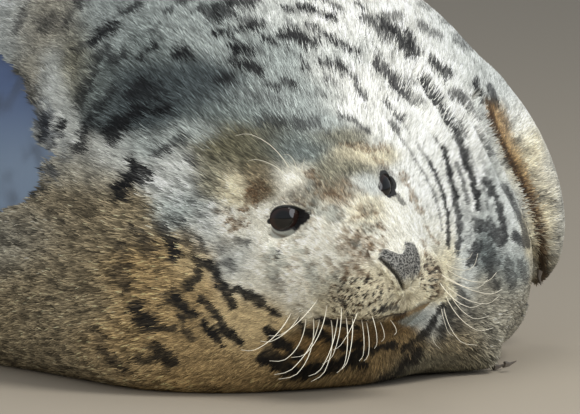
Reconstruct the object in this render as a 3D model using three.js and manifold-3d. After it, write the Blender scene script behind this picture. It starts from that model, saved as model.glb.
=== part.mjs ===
// A moulted grey seal pup, lying on its right side and belly with its head drawn into its neck.
// Millimetres, +Z up, floor at Z 0. The trunk's front half runs along Y, the nose end towards -Y,
// so the pup's left side is +X. The hind end curls towards +X.
import * as THREE from "three";
import { mergeVertices } from "three/addons/utils/BufferGeometryUtils.js";
import Module from "manifold-3d";

const wasm = await Module();
wasm.setup();

// ---- Driving sizes ----------------------------------------------------------------------------

const GAP = 0.35; // clearance between neighbouring solids

// The trunk: a straight front and a hind end that curls round a vertical axis.
const CURL_START = 150; // along the trunk from the shoulders, where the curl begins
const CURL_RADIUS = 1500;

// Sections across the trunk: along from the shoulders, half width, height of the widest line,
// height of the back, and how deep the section would reach below its widest line off the floor.
const TRUNK = {
  along: [0, 100, 200, 300, 400, 500, 600, 690],
  half: [203, 214, 208, 186, 154, 119, 85, 54],
  widest: [113, 113, 107, 98, 87, 75, 63, 52],
  back: [316, 317, 303, 276, 239, 195, 150, 109],
  depth: [260, 260, 245, 212, 174, 136, 102, 74],
};
const TRUNK_ENDS = { front: 176, rear: 46 }; // how far the rounded ends reach past the sections
const TRUNK_POWERS = { over: 2.1, under: 2.6 }; // squareness above and below the widest line
const FLOOR_EDGE = 10; // how softly the flesh rounds off where it meets the floor

// The head: its own frame has F forward, L to its left and U up from the middle of the line
// between the two eyes.
const EYE_LINE = new THREE.Vector3(-46, -195, 142);
const HEAD_YAW = THREE.MathUtils.degToRad(5.6); // to its left
const HEAD_PITCH = THREE.MathUtils.degToRad(12.4); // nose down
const HEAD_ROLL = THREE.MathUtils.degToRad(11); // crown towards its right
const HEAD = {
  along: [-140, -100, -60, -25, 0, 25, 48, 64],
  half: [82, 83, 81, 74, 62, 51, 44, 40],
  widest: [-34, -34, -34, -33, -33, -36, -40, -41],
  back: [30, 36, 37, 29, 19, 9, 0, -8],
  depth: [56, 56, 56, 54, 50, 46, 40, 34],
};
const HEAD_ENDS = { front: 18, rear: 60 };
const HEAD_POWERS = { over: 2.1, under: 2.3 };
const HEAD_BLEND = 26; // how softly the head runs into the neck

// The eyeball's centre from the eye line, and how far out the front of the eye is.
const EYE = { radius: 19, socket: 20, side: 39.5, back: 16, down: 5.5, outer: 48, fine: 3, rough: 2 };
const LIDS = { half: 14.3, high: 8.8, deep: 9 }; // the opening between the lids, and its depth
const LID_FACETS = [20, 10];

// ---- The body as a field: negative inside the flesh, positive outside ----------------------------

const smoothMin = (a, b, reach) => {
  const h = Math.max(reach - Math.abs(a - b), 0) / reach;
  return Math.min(a, b) - (h * h * reach) / 4;
};
const smoothMax = (a, b, reach) => -smoothMin(-a, -b, reach);

// The value of one size at a place along its stations, on a smooth curve through them.
function sizeAt(stations, values, at) {
  const last = stations.length - 1;
  if (at <= stations[0]) return values[0];
  if (at >= stations[last]) return values[last];
  let i = 0;
  while (at > stations[i + 1]) i++;
  const slope = (j) => {
    const a = Math.max(j - 1, 0);
    const b = Math.min(j + 1, last);
    return (values[b] - values[a]) / (stations[b] - stations[a]);
  };
  const span = stations[i + 1] - stations[i];
  const t = (at - stations[i]) / span;
  return (
    (2 * t ** 3 - 3 * t ** 2 + 1) * values[i] +
    (t ** 3 - 2 * t ** 2 + t) * span * slope(i) +
    (3 * t ** 2 - 2 * t ** 3) * values[i + 1] +
    (t ** 3 - t ** 2) * span * slope(i + 1)
  );
}

// A form lofted through sections, closed by rounded ends: how far a point is outside it.
function loftDistance(sizes, ends, powers, along, side, up) {
  const { along: stations } = sizes;
  const first = stations[0];
  const last = stations[stations.length - 1];
  const half = sizeAt(stations, sizes.half, along);
  const widest = sizeAt(stations, sizes.widest, along);
  const rise = up - widest;
  const over = rise > 0;
  const height = over
    ? sizeAt(stations, sizes.back, along) - widest
    : sizeAt(stations, sizes.depth, along);
  const power = over ? powers.over : powers.under;
  const before = Math.max(first - along, 0) / (ends.before ?? 1);
  const after = Math.max(along - last, 0) / (ends.after ?? 1);
  const share =
    (Math.abs(side) / half) ** power +
    (Math.abs(rise) / height) ** power +
    Math.max(before, after) ** power;
  return (share ** (1 / power) - 1) * Math.min(half, height);
}

// Along, side and up in the trunk's own line, with the curl straightened.
function uncurl(p) {
  if (p.y < CURL_START) return { along: p.y, side: p.x, up: p.z };
  const across = CURL_RADIUS - p.x;
  const past = p.y - CURL_START;
  return {
    along: CURL_START + CURL_RADIUS * Math.atan2(past, across),
    side: CURL_RADIUS - Math.hypot(across, past),
    up: p.z,
  };
}

// The point at a place along, beside and above the trunk's line.
function curl(along, side, up) {
  const turn = headingAt(along);
  const straight = Math.min(along, CURL_START);
  const reach = CURL_RADIUS - side;
  return new THREE.Vector3(
    CURL_RADIUS - reach * Math.cos(turn),
    straight + reach * Math.sin(turn),
    up,
  );
}
// How far the line has turned from +Y towards +X, and its directions there.
function headingAt(along) {
  return Math.max(along - CURL_START, 0) / CURL_RADIUS;
}
function lineAxes(along) {
  const turn = headingAt(along);
  return {
    ahead: new THREE.Vector3(-Math.sin(turn), -Math.cos(turn), 0),
    side: new THREE.Vector3(Math.cos(turn), -Math.sin(turn), 0),
    up: new THREE.Vector3(0, 0, 1),
  };
}

// The head's frame.
const headAxes = (() => {
  const forward = new THREE.Vector3(
    Math.sin(HEAD_YAW) * Math.cos(HEAD_PITCH),
    -Math.cos(HEAD_YAW) * Math.cos(HEAD_PITCH),
    -Math.sin(HEAD_PITCH),
  );
  const level = new THREE.Vector3(Math.cos(HEAD_YAW), Math.sin(HEAD_YAW), 0);
  const upright = forward.clone().cross(level);
  const left = level
    .multiplyScalar(Math.cos(HEAD_ROLL))
    .addScaledVector(upright, Math.sin(HEAD_ROLL));
  return { forward, left, up: forward.clone().cross(left) };
})();

function headPoint(forward, left, up) {
  return EYE_LINE.clone()
    .addScaledVector(headAxes.forward, forward)
    .addScaledVector(headAxes.left, left)
    .addScaledVector(headAxes.up, up);
}

// An ellipsoid of flesh: how far a local point is outside it.
function ellipsoidDistance(x, y, z, [a, b, c]) {
  const near = Math.hypot(x / a, y / b, z / c);
  const steep = Math.hypot(x / (a * a), y / (b * b), z / (c * c));
  return steep < 1e-9 ? -Math.min(a, b, c) : (near * (near - 1)) / steep;
}

// Swellings of the head, each in the head's frame; a paired one is on both sides.
const HEAD_SWELLINGS = [
  { name: "whisker pad", at: [62, 24, -46], radii: [30, 22, 24], blend: 12, paired: true },
  { name: "nose", at: [68, 0, -24], radii: [17, 19, 17], blend: 10 },
  { name: "chin", at: [48, 0, -72], radii: [27, 24, 14], blend: 16 },
  { name: "brow", at: [-14, 30, 13], radii: [24, 18, 12], blend: 16, paired: true },
  { name: "cheek", at: [-22, 44, -44], radii: [48, 32, 38], blend: 26, paired: true },
];

// Hollows round the eyes.
const HEAD_HOLLOWS = [{ name: "socket", at: [13, 54, 4], radii: [14.5, 18, 13.5], blend: 12 }];

// Swellings of the neck and shoulders, where the drawn-in neck bulges and rests.
const BODY_SWELLINGS = [
  { name: "throat roll", at: [-26, -86, 44], radii: [158, 122, 86], blend: 40 },
  { name: "chest roll", at: [96, -56, 76], radii: [106, 84, 70], blend: 34 },
  { name: "left shoulder", at: [104, 0, 160], radii: [86, 92, 88], blend: 50 },
];

function headDistance(p) {
  const from = p.clone().sub(EYE_LINE);
  const f = from.dot(headAxes.forward);
  const l = from.dot(headAxes.left);
  const u = from.dot(headAxes.up);
  const ends = { before: HEAD_ENDS.rear, after: HEAD_ENDS.front };
  let d = loftDistance(HEAD, ends, HEAD_POWERS, f, l, u);
  for (const { at, radii, blend, paired } of HEAD_SWELLINGS) {
    const side = paired ? Math.abs(l) : l;
    d = smoothMin(d, ellipsoidDistance(f - at[0], side - at[1], u - at[2], radii), blend);
  }
  for (const { at, radii, blend } of HEAD_HOLLOWS) {
    const side = Math.abs(l);
    d = smoothMax(d, -ellipsoidDistance(f - at[0], side - at[1], u - at[2], radii), blend);
  }
  return d;
}

function bodyDistance(p) {
  const { along, side, up } = uncurl(p);
  const ends = { before: TRUNK_ENDS.front, after: TRUNK_ENDS.rear };
  let d = loftDistance(TRUNK, ends, TRUNK_POWERS, along, side, up);
  for (const { at, radii, blend } of BODY_SWELLINGS) {
    d = smoothMin(d, ellipsoidDistance(p.x - at[0], p.y - at[1], p.z - at[2], radii), blend);
  }
  d = smoothMin(d, headDistance(p), HEAD_BLEND);
  return smoothMax(d, -p.z, FLOOR_EDGE);
}

// ---- From the field to closed solids --------------------------------------------------------

const MARCH_STEP = 5;
const MARCH_END = 420;
const BISECTIONS = 12;
const FLAT = 0.05; // anything this near the floor is on it

// The first point along a ray from inside the flesh where the field reaches a level.
function surfacePoint(origin, direction, level = 0) {
  const at = (r) => origin.clone().addScaledVector(direction, r);
  let near = 0;
  let far = MARCH_STEP;
  while (far < MARCH_END && bodyDistance(at(far)) < level) {
    near = far;
    far += MARCH_STEP;
  }
  for (let i = 0; i < BISECTIONS; i++) {
    const middle = (near + far) / 2;
    if (bodyDistance(at(middle)) < level) near = middle;
    else far = middle;
  }
  const point = at(near);
  if (point.z < FLAT) point.z = 0;
  return point;
}

// A capsule whose vertices are sent out from a line inside the body until they reach its surface.
// place(t) is the line's frame at a share t of its length: { origin, ahead, side, up }.
function wrap({ place, capRings, rings, segments, level = 0 }) {
  const geometry = new THREE.CapsuleGeometry(1, 1, capRings, segments, rings);
  const positions = geometry.getAttribute("position");
  const v = new THREE.Vector3();
  for (let i = 0; i < positions.count; i++) {
    v.fromBufferAttribute(positions, i);
    const share = THREE.MathUtils.clamp(v.y + 0.5, 0, 1);
    const past = v.y - THREE.MathUtils.clamp(v.y, -0.5, 0.5);
    const { origin, ahead, side, up } = place(share);
    const direction = new THREE.Vector3()
      .addScaledVector(ahead, past)
      .addScaledVector(side, v.x)
      .addScaledVector(up, v.z)
      .normalize();
    const point = surfacePoint(origin, direction, level);
    positions.setXYZ(i, point.x, point.y, point.z);
  }
  return solidOf(geometry);
}

// A closed geometry as a solid for cutting and joining.
function solidOf(geometry) {
  const bare = geometry.index ? geometry.toNonIndexed() : geometry.clone();
  bare.deleteAttribute("normal");
  bare.deleteAttribute("uv");
  const merged = mergeVertices(bare, 1e-3);
  const corners = merged.index.array;
  const kept = [];
  for (let i = 0; i < corners.length; i += 3) {
    const [a, b, c] = corners.slice(i, i + 3);
    if (a !== b && b !== c && a !== c) kept.push(a, b, c);
  }
  const make = (triangles) =>
    new wasm.Manifold(
      new wasm.Mesh({
        numProp: 3,
        vertProperties: merged.getAttribute("position").array,
        triVerts: new Uint32Array(triangles),
      }),
    );
  const made = make(kept);
  if (made.volume() > 0) return made;
  for (let i = 0; i < kept.length; i += 3) [kept[i], kept[i + 1]] = [kept[i + 1], kept[i]];
  return make(kept);
}

function geometryOf(solid) {
  const { vertProperties, triVerts } = solid.getMesh();
  return new THREE.BufferGeometry()
    .setAttribute("position", new THREE.BufferAttribute(vertProperties, 3))
    .setIndex(new THREE.BufferAttribute(triVerts, 1));
}

// The half of space behind a plane, as a box big enough for the whole pup.
const REACH = 3000;
function behind(point, normal) {
  const box = new THREE.BoxGeometry(REACH, REACH, REACH).translate(0, 0, -REACH / 2);
  const facing = new THREE.Quaternion().setFromUnitVectors(new THREE.Vector3(0, 0, 1), normal);
  return solidOf(box.applyQuaternion(facing).translate(point.x, point.y, point.z));
}
// Both sides of a cut, with the gap between them.
function cutAt(solid, point, normal) {
  const rear = point.clone().addScaledVector(normal, -GAP / 2);
  const front = point.clone().addScaledVector(normal, GAP / 2);
  return {
    rear: solid.intersect(behind(rear, normal)),
    front: solid.subtract(behind(front, normal)),
  };
}

const group = new THREE.Group();
function addNode(name, solid, material) {
  const mesh = new THREE.Mesh(geometryOf(solid), material);
  mesh.name = name;
  group.add(mesh);
}

const fur = new THREE.MeshStandardMaterial({ color: 0xa9a493, roughness: 0.8, metalness: 0 });
const eyeball = new THREE.MeshStandardMaterial({ color: 0x120d0c, roughness: 0.06, metalness: 0 });
const pad = new THREE.MeshStandardMaterial({ color: 0x3a3a3c, roughness: 0.6, metalness: 0 });
const horn = new THREE.MeshStandardMaterial({ color: 0x2a2624, roughness: 0.45, metalness: 0 });

// ---- Head, neck, trunk, hindquarters --------------------------------------------------------

const HEAD_LINE = { rear: -104, front: 48, up: -36, rings: 19, capRings: 6, segments: 40 };
const headPlace = (share) => ({
  origin: headPoint(
    THREE.MathUtils.lerp(HEAD_LINE.rear, HEAD_LINE.front, share),
    0,
    HEAD_LINE.up,
  ),
  ahead: headAxes.forward,
  side: headAxes.left,
  up: headAxes.up,
});

const BODY_LINE = { front: -20, rear: 690, height: 0.68, rings: 17, capRings: 7, segments: 34 };
const bodyPlace = (share) => {
  const along = THREE.MathUtils.lerp(BODY_LINE.rear, BODY_LINE.front, share);
  const up = sizeAt(TRUNK.along, TRUNK.widest, along) * BODY_LINE.height;
  return { origin: curl(along, 0, up), ...lineAxes(along) };
};
const wrapHead = (level) => wrap({ place: headPlace, ...HEAD_LINE, level });
const wrapBody = (level) => wrap({ place: bodyPlace, ...BODY_LINE, level });

// The head parts from the neck along an egg-shaped cut round the face.
const HEAD_CUT = { at: [-10, 0, -26], radii: [112, 97, 84], power: 3 };
const CUT_FACETS = [24, 14];
const NOSE_FACETS = [14, 9];
const NOSE_CUT = { at: [84, 0, -25], radii: [14, 18.5, 17.5], power: 2.4 };

// An egg in the head's frame, squarer than an ellipsoid by its power.
function headEgg({ at, radii, power }, columns, rows, grow = 0) {
  const geometry = new THREE.SphereGeometry(1, columns, rows);
  const positions = geometry.getAttribute("position");
  const v = new THREE.Vector3();
  for (let i = 0; i < positions.count; i++) {
    v.fromBufferAttribute(positions, i);
    const share = Math.abs(v.x) ** power + Math.abs(v.y) ** power + Math.abs(v.z) ** power;
    v.multiplyScalar(share ** (-1 / power));
    const [forward, left, up] = radii.map((r) => r + grow);
    const p = headPoint(at[0] + v.z * forward, at[1] + v.x * left, at[2] + v.y * up);
    positions.setXYZ(i, p.x, p.y, p.z);
  }
  return solidOf(geometry);
}
const across = (along) => [curl(along, 0, 0), lineAxes(along).ahead];
const NECK_CUT = -78; // along the trunk from the shoulders
const LOIN_CUT = 430;

const body = wrapBody(0);
let head = wrapHead(0).intersect(headEgg(HEAD_CUT, ...CUT_FACETS));
const behindHead = body.subtract(headEgg(HEAD_CUT, ...CUT_FACETS, GAP));
const necks = cutAt(behindHead, ...across(NECK_CUT));
const trunks = cutAt(necks.rear, ...across(LOIN_CUT));

// The eyes, and the openings between their lids. sideways is 1 for its left, -1 for its right.
function eyePlace(sideways) {
  const { up } = headAxes;
  const centre = headPoint(-EYE.back, sideways * EYE.side, -EYE.down);
  const looking = headPoint(0, sideways * EYE.outer, 0).sub(centre).normalize();
  const high = up.clone().addScaledVector(looking, -up.dot(looking)).normalize();
  return { centre, looking, high, long: looking.clone().cross(high) };
}
const ball = (centre, radius, detail) => {
  const geometry = new THREE.IcosahedronGeometry(radius, detail);
  return solidOf(geometry.translate(centre.x, centre.y, centre.z));
};
function lidOpening({ centre, looking, high, long }) {
  const geometry = new THREE.SphereGeometry(1, ...LID_FACETS);
  geometry.scale(LIDS.half, LIDS.high, LIDS.deep);
  geometry.applyMatrix4(new THREE.Matrix4().makeBasis(long, high, looking));
  const cornea = centre.clone().addScaledVector(looking, EYE.radius);
  return solidOf(geometry.translate(cornea.x, cornea.y, cornea.z));
}
for (const [name, sideways] of [["left", 1], ["right", -1]]) {
  const place = eyePlace(sideways);
  head = head.subtract(ball(place.centre, EYE.socket, EYE.rough)).subtract(lidOpening(place));
  addNode(`eye_${name}`, ball(place.centre, EYE.radius, EYE.fine), eyeball);
}
addNode("nose", head.intersect(headEgg(NOSE_CUT, ...NOSE_FACETS)), pad);
addNode("head", head.subtract(headEgg(NOSE_CUT, ...NOSE_FACETS, GAP)), fur);
addNode("neck", necks.front, fur);
addNode("trunk", trunks.front, fur);
addNode("hindquarters", trunks.rear, fur);

// ---- Flippers, claws and tail --------------------------------------------------------------------

// Each flipper is a blade round a centre line from root to tip. across points to its first digit,
// and half and thick are its half width and half thickness along it. The back of the blade is on
// the side of (line x across).
const FORE_CLAW = { length: 10, thick: 2.7, share: 0.88, sunk: 0.45, lift: 0.12, bend: 0.5 };
const FORE = {
  half: [34, 40, 43, 44, 40, 34],
  claw: FORE_CLAW,
};
const HIND = {
  half: [26, 27, 34, 47, 58, 60],
  thick: [21, 17, 11, 7.5, 6, 4.5],
  claw: { length: 11, thick: 1.8, share: 0.84, sunk: 0.4, lift: 0.12, bend: 0.25 },
};
const FLIPPERS = {
  fore_flipper_left: {
    ...FORE,
    thick: [30, 26, 21, 17, 13, 9],
    line: [
      [124, -30, 232],
      [174, -36, 197],
      [209, -42, 157],
      [227, -48, 115],
      [231, -50, 76],
      [220, -52, 40],
    ],
    across: [[-0.3, -0.95, 0]],
  },
  fore_flipper_right: {
    ...FORE,
    thick: [22, 21, 19, 16, 13, 9],
    line: [
      [6, -84, 30],
      [38, -108, 27],
      [66, -124, 23],
      [90, -134, 20],
      [110, -138, 16],
      [126, -138, 13],
    ],
    across: [[-0.5, -0.84, 0.1], [-0.45, -0.88, 0.1], [-0.4, -0.9, 0.05]],
  },
  hind_flipper_left: {
    ...HIND,
    line: [
      [126, 640, 60],
      [146, 690, 50],
      [164, 736, 36],
      [182, 780, 23],
      [198, 824, 14],
      [212, 866, 9],
    ],
    across: [[0.8, -0.1, 0.6], [0.85, -0.3, 0.42], [0.9, -0.38, 0.25], [0.92, -0.38, 0.05]],
  },
  hind_flipper_right: {
    ...HIND,
    line: [
      [70, 646, 44],
      [68, 696, 33],
      [60, 744, 24],
      [48, 790, 16],
      [34, 834, 10],
      [20, 876, 7],
    ],
    across: [[-0.9, 0, 0.3], [-0.95, -0.15, 0.15], [-0.97, -0.2, 0.02]],
  },
};
const DIGITS = [-0.8, -0.4, 0, 0.4, 0.8]; // across the blade, from the last digit to the first
const DIGIT_SPACING = 0.4;
const DIGIT_RISE = 0.28; // how much thicker the blade is over a digit
const DIGIT_REACH = 7; // how far a digit's tip reaches past the web
const DIGITS_SHOW = [0.3, 0.7]; // shares of the length between which the digits come to stand out
const TIPS_SHOW = [0.6, 0.95];
const CLAW_POINT = 0.18; // the claw's tip as a share of its root
const CLAW_FACETS = [6, 2];
const BLADE = { columns: 20, rows: 9, ends: 5, edges: 2.2 };

const TAIL = {
  line: [[104, 690, 80], [115, 734, 76], [124, 770, 66], [131, 802, 54]],
  across: [[1, -0.3, 0.5]],
  half: [30, 25, 20, 12],
  thick: [22, 17, 11, 6],
};

// Values given at even steps, read at a share of the way through them.
function valueAt(values, share) {
  const stations = values.map((_, i) => i / (values.length - 1));
  if (values.length === 1) return values[0];
  if (typeof values[0] === "number") return sizeAt(stations, values, share);
  return values[0].map((_, axis) => sizeAt(stations, values.map((v) => v[axis]), share));
}
const ramp = ([from, to], at) => THREE.MathUtils.smoothstep(at, from, to);

// The frame of a blade at a share of its length.
function bladeFrame(blade, share) {
  const curve = new THREE.CatmullRomCurve3(blade.line.map((p) => new THREE.Vector3(...p)));
  const centre = curve.getPoint(share);
  const ahead = curve.getTangent(share);
  const wide = new THREE.Vector3(...valueAt(blade.across, share));
  wide.addScaledVector(ahead, -wide.dot(ahead)).normalize();
  return { centre, ahead, wide, back: ahead.clone().cross(wide) };
}

// A point on a blade: share along it, side from -1 to 1 across it, and face 1 for its back.
function bladePoint(blade, share, side, face, grow = 0) {
  const { centre, ahead, wide, back } = bladeFrame(blade, share);
  const closed = Math.sqrt(Math.max(1 - Math.abs(2 * share - 1) ** BLADE.ends, 0));
  const ridge = blade.claw ? (1 + Math.cos((2 * Math.PI * side) / DIGIT_SPACING)) / 2 : 0;
  const edge = Math.max(1 - Math.abs(side) ** BLADE.edges, 0) ** (1 / BLADE.edges);
  const fat = 1 + DIGIT_RISE * (2 * ridge - 1) * ramp(DIGITS_SHOW, share);
  const half = valueAt(blade.half, share) * closed + grow;
  const thick = (valueAt(blade.thick, share) * fat * closed + grow) * edge;
  const shut = Math.abs(2 * share - 1) > 1 - 1e-6 ? 0 : 1;
  return centre
    .addScaledVector(wide, half * side * shut)
    .addScaledVector(back, thick * face * shut)
    .addScaledVector(ahead, DIGIT_REACH * ridge * shut * ramp(TIPS_SHOW, share))
    .addScaledVector(ahead, 2 * grow * (2 * share - 1));
}

function bladeSolid(blade, grow = 0) {
  const geometry = new THREE.SphereGeometry(1, BLADE.columns, BLADE.rows);
  const positions = geometry.getAttribute("position");
  for (let i = 0; i < positions.count; i++) {
    const [x, y, z] = [positions.getX(i), positions.getY(i), positions.getZ(i)];
    const share = Math.acos(THREE.MathUtils.clamp(y, -1, 1)) / Math.PI;
    const turn = Math.atan2(z, x);
    const side = 1 - (2 * Math.abs(turn)) / Math.PI;
    const p = bladePoint(blade, share, side, Math.sign(turn), grow);
    positions.setXYZ(i, p.x, p.y, p.z);
  }
  return solidOf(geometry);
}

// A claw: a cone that bends down past the tip of its digit.
function clawSolid(blade, side) {
  const { length, thick, share, sunk, lift, bend } = blade.claw;
  const { ahead, back, wide } = bladeFrame(blade, share);
  const root = bladePoint(blade, share, side, 1).addScaledVector(back, -thick * sunk);
  const pointing = ahead.clone().addScaledVector(back, lift).normalize();
  const high = back.clone().addScaledVector(pointing, -back.dot(pointing)).normalize();
  const geometry = new THREE.CylinderGeometry(thick * CLAW_POINT, thick, length, ...CLAW_FACETS);
  const positions = geometry.getAttribute("position");
  for (let i = 0; i < positions.count; i++) {
    const out = positions.getY(i) + length / 2;
    const drop = (bend * out ** 2) / length;
    const p = root
      .clone()
      .addScaledVector(pointing, out)
      .addScaledVector(wide, positions.getX(i))
      .addScaledVector(high, positions.getZ(i) - drop);
    positions.setXYZ(i, p.x, p.y, p.z);
  }
  return solidOf(geometry);
}

// What is left of a solid outside others, as its one largest body.
function outside(solid, others) {
  const rest = others.reduce((left, other) => left.subtract(other), solid);
  return rest.decompose().reduce((a, b) => (a.volume() > b.volume() ? a : b));
}

const grownBody = wrapBody(GAP);
const aboveFloor = behind(new THREE.Vector3(), new THREE.Vector3(0, 0, -1));
addNode("tail", outside(bladeSolid(TAIL), [grownBody]), fur);
const placed = [grownBody, bladeSolid(TAIL, GAP)];
for (const [name, blade] of Object.entries(FLIPPERS)) {
  addNode(name, outside(bladeSolid(blade).intersect(aboveFloor), placed), fur);
  placed.push(bladeSolid(blade, GAP));
}
for (const [name, blade] of Object.entries(FLIPPERS)) {
  DIGITS.forEach((side, i) => {
    const claw = outside(clawSolid(blade, side).intersect(aboveFloor), placed);
    addNode(`${name.replace("flipper", "claw")}_${i + 1}`, claw, horn);
  });
}

// The origin is the middle of the box's underside.
const middle = new THREE.Box3().setFromObject(group).getCenter(new THREE.Vector3());
group.position.set(-middle.x, -middle.y, 0);
export default group;
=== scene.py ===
"""A grey seal pup at rest: skin, short coat, eyes, whiskers, claws, floor, light and camera."""

import bmesh
import bpy
import numpy as np
from mathutils import Matrix, Vector
from mathutils.bvhtree import BVHTree


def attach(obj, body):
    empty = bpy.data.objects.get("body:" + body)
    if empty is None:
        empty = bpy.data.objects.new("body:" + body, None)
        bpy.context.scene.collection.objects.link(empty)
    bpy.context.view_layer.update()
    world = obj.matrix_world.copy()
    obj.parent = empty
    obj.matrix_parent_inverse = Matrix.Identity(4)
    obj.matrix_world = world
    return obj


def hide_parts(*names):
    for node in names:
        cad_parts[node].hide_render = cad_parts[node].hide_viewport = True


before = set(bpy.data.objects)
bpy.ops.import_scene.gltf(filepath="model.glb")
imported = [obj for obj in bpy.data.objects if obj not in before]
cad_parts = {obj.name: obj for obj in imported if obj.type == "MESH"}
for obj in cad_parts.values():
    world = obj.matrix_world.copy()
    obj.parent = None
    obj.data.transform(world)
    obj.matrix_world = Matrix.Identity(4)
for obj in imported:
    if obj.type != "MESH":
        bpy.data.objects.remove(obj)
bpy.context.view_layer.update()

rng = np.random.default_rng(7)

# ---------------------------------------------------------------- frames
# Work is done in millimetres from the shoulder, as the solids are drawn.
SHOULDER = np.array([19.273, 300.154, 0.0])
EYE_LINE = np.array([-46.0, -195.0, 142.0])


def heading(turn, drop):
    """The way of +Y once it is turned aside and dropped."""
    return np.array([np.sin(turn) * np.cos(drop), np.cos(turn) * np.cos(drop), -np.sin(drop)])


VIEW_TURN, VIEW_DROP = np.radians(32.0), np.radians(7.0)
RIGHT = np.array([np.cos(VIEW_TURN), -np.sin(VIEW_TURN), 0.0])
LOOK = heading(VIEW_TURN, VIEW_DROP)
UP = np.cross(RIGHT, LOOK)
YAW, PITCH, ROLL = np.radians([5.6, 12.4, 11.0])
FORE = heading(YAW, PITCH) * [1, -1, 1]
LEVEL = np.array([np.cos(YAW), np.sin(YAW), 0.0])
LEFT = LEVEL * np.cos(ROLL) + np.cross(FORE, LEVEL) * np.sin(ROLL)
HEAD = np.array([FORE, LEFT, np.cross(FORE, LEFT)])

# the front view: how wide it is, dots to a millimetre at the eyes, and where their middle falls
VIEW_WIDTH, DOTS = 580, 1.36
MIDDLE_X, MIDDLE_Y = 336.2, 202.9
CAMERA_BACK = 8000.0

EYE_CENTRE = np.array([-16.0, 39.5, -5.5])
EYE_RADIUS = 19.0
EYE_LOOK, EYE_SPAN = np.array([0.845, 0.449, 0.29]), np.array([-12.9, 25.8, -2.3])
EAR = np.array([-37.0, 70.5, 1.5])
FLESH = [
    "head", "nose", "neck", "trunk", "hindquarters", "tail",
    "fore_flipper_left", "fore_flipper_right", "hind_flipper_left", "hind_flipper_right",
]
SIDES = (1, -1)


def unit(v):
    return v / np.maximum(np.linalg.norm(v, axis=-1, keepdims=True), 1e-9)


def step(x, a, b):
    s = np.clip((x - a) / (b - a), 0.0, 1.0)
    return s * s * (3.0 - 2.0 * s)


def band(x, a, b, c, d):
    """Rises from a to b and falls from c to d."""
    return step(x, a, b) * step(-x, -d, -c)


def in_box(x, y, left, right, top, low):
    return (x > left) & (x < right) & (y > top) & (y < low)


def bell(x, wide):
    return np.exp(-((x / wide) ** 2))


def oval(x, y, at_x, at_y, wide, high):
    return np.exp(-(((x - at_x) / wide) ** 2) - ((y - at_y) / high) ** 2)


def in_head(p):
    return (p - EYE_LINE) @ HEAD.T


def from_head(q):
    return EYE_LINE + q @ HEAD


def from_eye(q, s):
    return np.linalg.norm(q - EYE_CENTRE * [1, s, 1], axis=1)


def on_view(p):
    """Where a point falls on the front view, across and down."""
    r = p - EYE_LINE
    k = DOTS * CAMERA_BACK / (CAMERA_BACK + r @ LOOK)
    return MIDDLE_X + k * (r @ RIGHT), MIDDLE_Y - k * (r @ UP)


def line_distance(x, y, line):
    """Distance from a line of places, given across and down in turn."""
    best = np.full(len(x), 999.0)
    flat = np.stack([x, y], 1)
    knots = np.reshape(line, (-1, 2)).astype(float)
    for a, b in zip(knots[:-1], knots[1:]):
        along = np.clip(((flat - a) @ (b - a)) / ((b - a) @ (b - a)), 0, 1)
        best = np.minimum(best, np.linalg.norm(flat - a - along[:, None] * (b - a), axis=1))
    return best


# ---------------------------------------------------------------- meshes
def mesh_arrays(me):
    me.calc_loop_triangles()
    v = np.empty(len(me.vertices) * 3)
    me.vertices.foreach_get("co", v)
    t = np.empty(len(me.loop_triangles) * 3, np.int32)
    me.loop_triangles.foreach_get("vertices", t)
    return v.reshape(-1, 3) * 1000.0 + SHOULDER, t.reshape(-1, 3).astype(int)


def vertex_normals(v, t):
    n = np.cross(v[t[:, 1]] - v[t[:, 0]], v[t[:, 2]] - v[t[:, 0]])
    out = np.zeros_like(v)
    for k in range(3):
        for a in range(3):
            out[:, a] += np.bincount(t[:, k], n[:, a], len(v))
    return unit(out)


def edges_of(t):
    return np.sort(np.concatenate([t[:, [0, 1]], t[:, [1, 2]], t[:, [2, 0]]]), 1)


def relax(v, t, weight, rounds):
    e = np.unique(edges_of(t), axis=0)
    i = np.concatenate([e[:, 0], e[:, 1]])
    j = np.concatenate([e[:, 1], e[:, 0]])
    count = np.bincount(i, minlength=len(v)).astype(float)
    for _ in range(rounds):
        mean = np.stack([np.bincount(i, v[j, a], len(v)) for a in range(3)], 1) / count[:, None]
        v = v + weight[:, None] * (mean - v)
    return v


def refine(v, t, want):
    """Splits every edge longer than want(middle) at its middle."""
    e, back = np.unique(edges_of(t), axis=0, return_inverse=True)
    mid = (v[e[:, 0]] + v[e[:, 1]]) / 2
    cut = np.linalg.norm(v[e[:, 0]] - v[e[:, 1]], axis=1) > want(mid)
    new = np.full(len(e), -1)
    new[cut] = len(v) + np.arange(cut.sum())
    # six columns: a triangle's corners, then the new points on its sides, -1 where there is none
    six = np.concatenate([t, new[back.reshape(-1)].reshape(3, -1).T], 1)
    kinds = (six[:, 3:] >= 0).sum(1)
    out = [t[kinds == 0]]
    for k in range(3):
        a, b, c = k, (k + 1) % 3, (k + 2) % 3
        ab, bc, ca = a + 3, b + 3, c + 3
        one = six[(kinds == 1) & (six[:, ab] >= 0)]
        out += [one[:, [a, ab, c]], one[:, [ab, b, c]]]
        two = six[(kinds == 2) & (six[:, ca] < 0)]
        out += [two[:, [ab, b, bc]], two[:, [a, ab, bc]], two[:, [a, bc, c]]]
    three = six[kinds == 3]
    out += [three[:, [0, 3, 5]], three[:, [3, 1, 4]], three[:, [5, 4, 2]], three[:, [3, 4, 5]]]
    return np.concatenate([v, mid[cut]]), np.concatenate(out)


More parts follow.
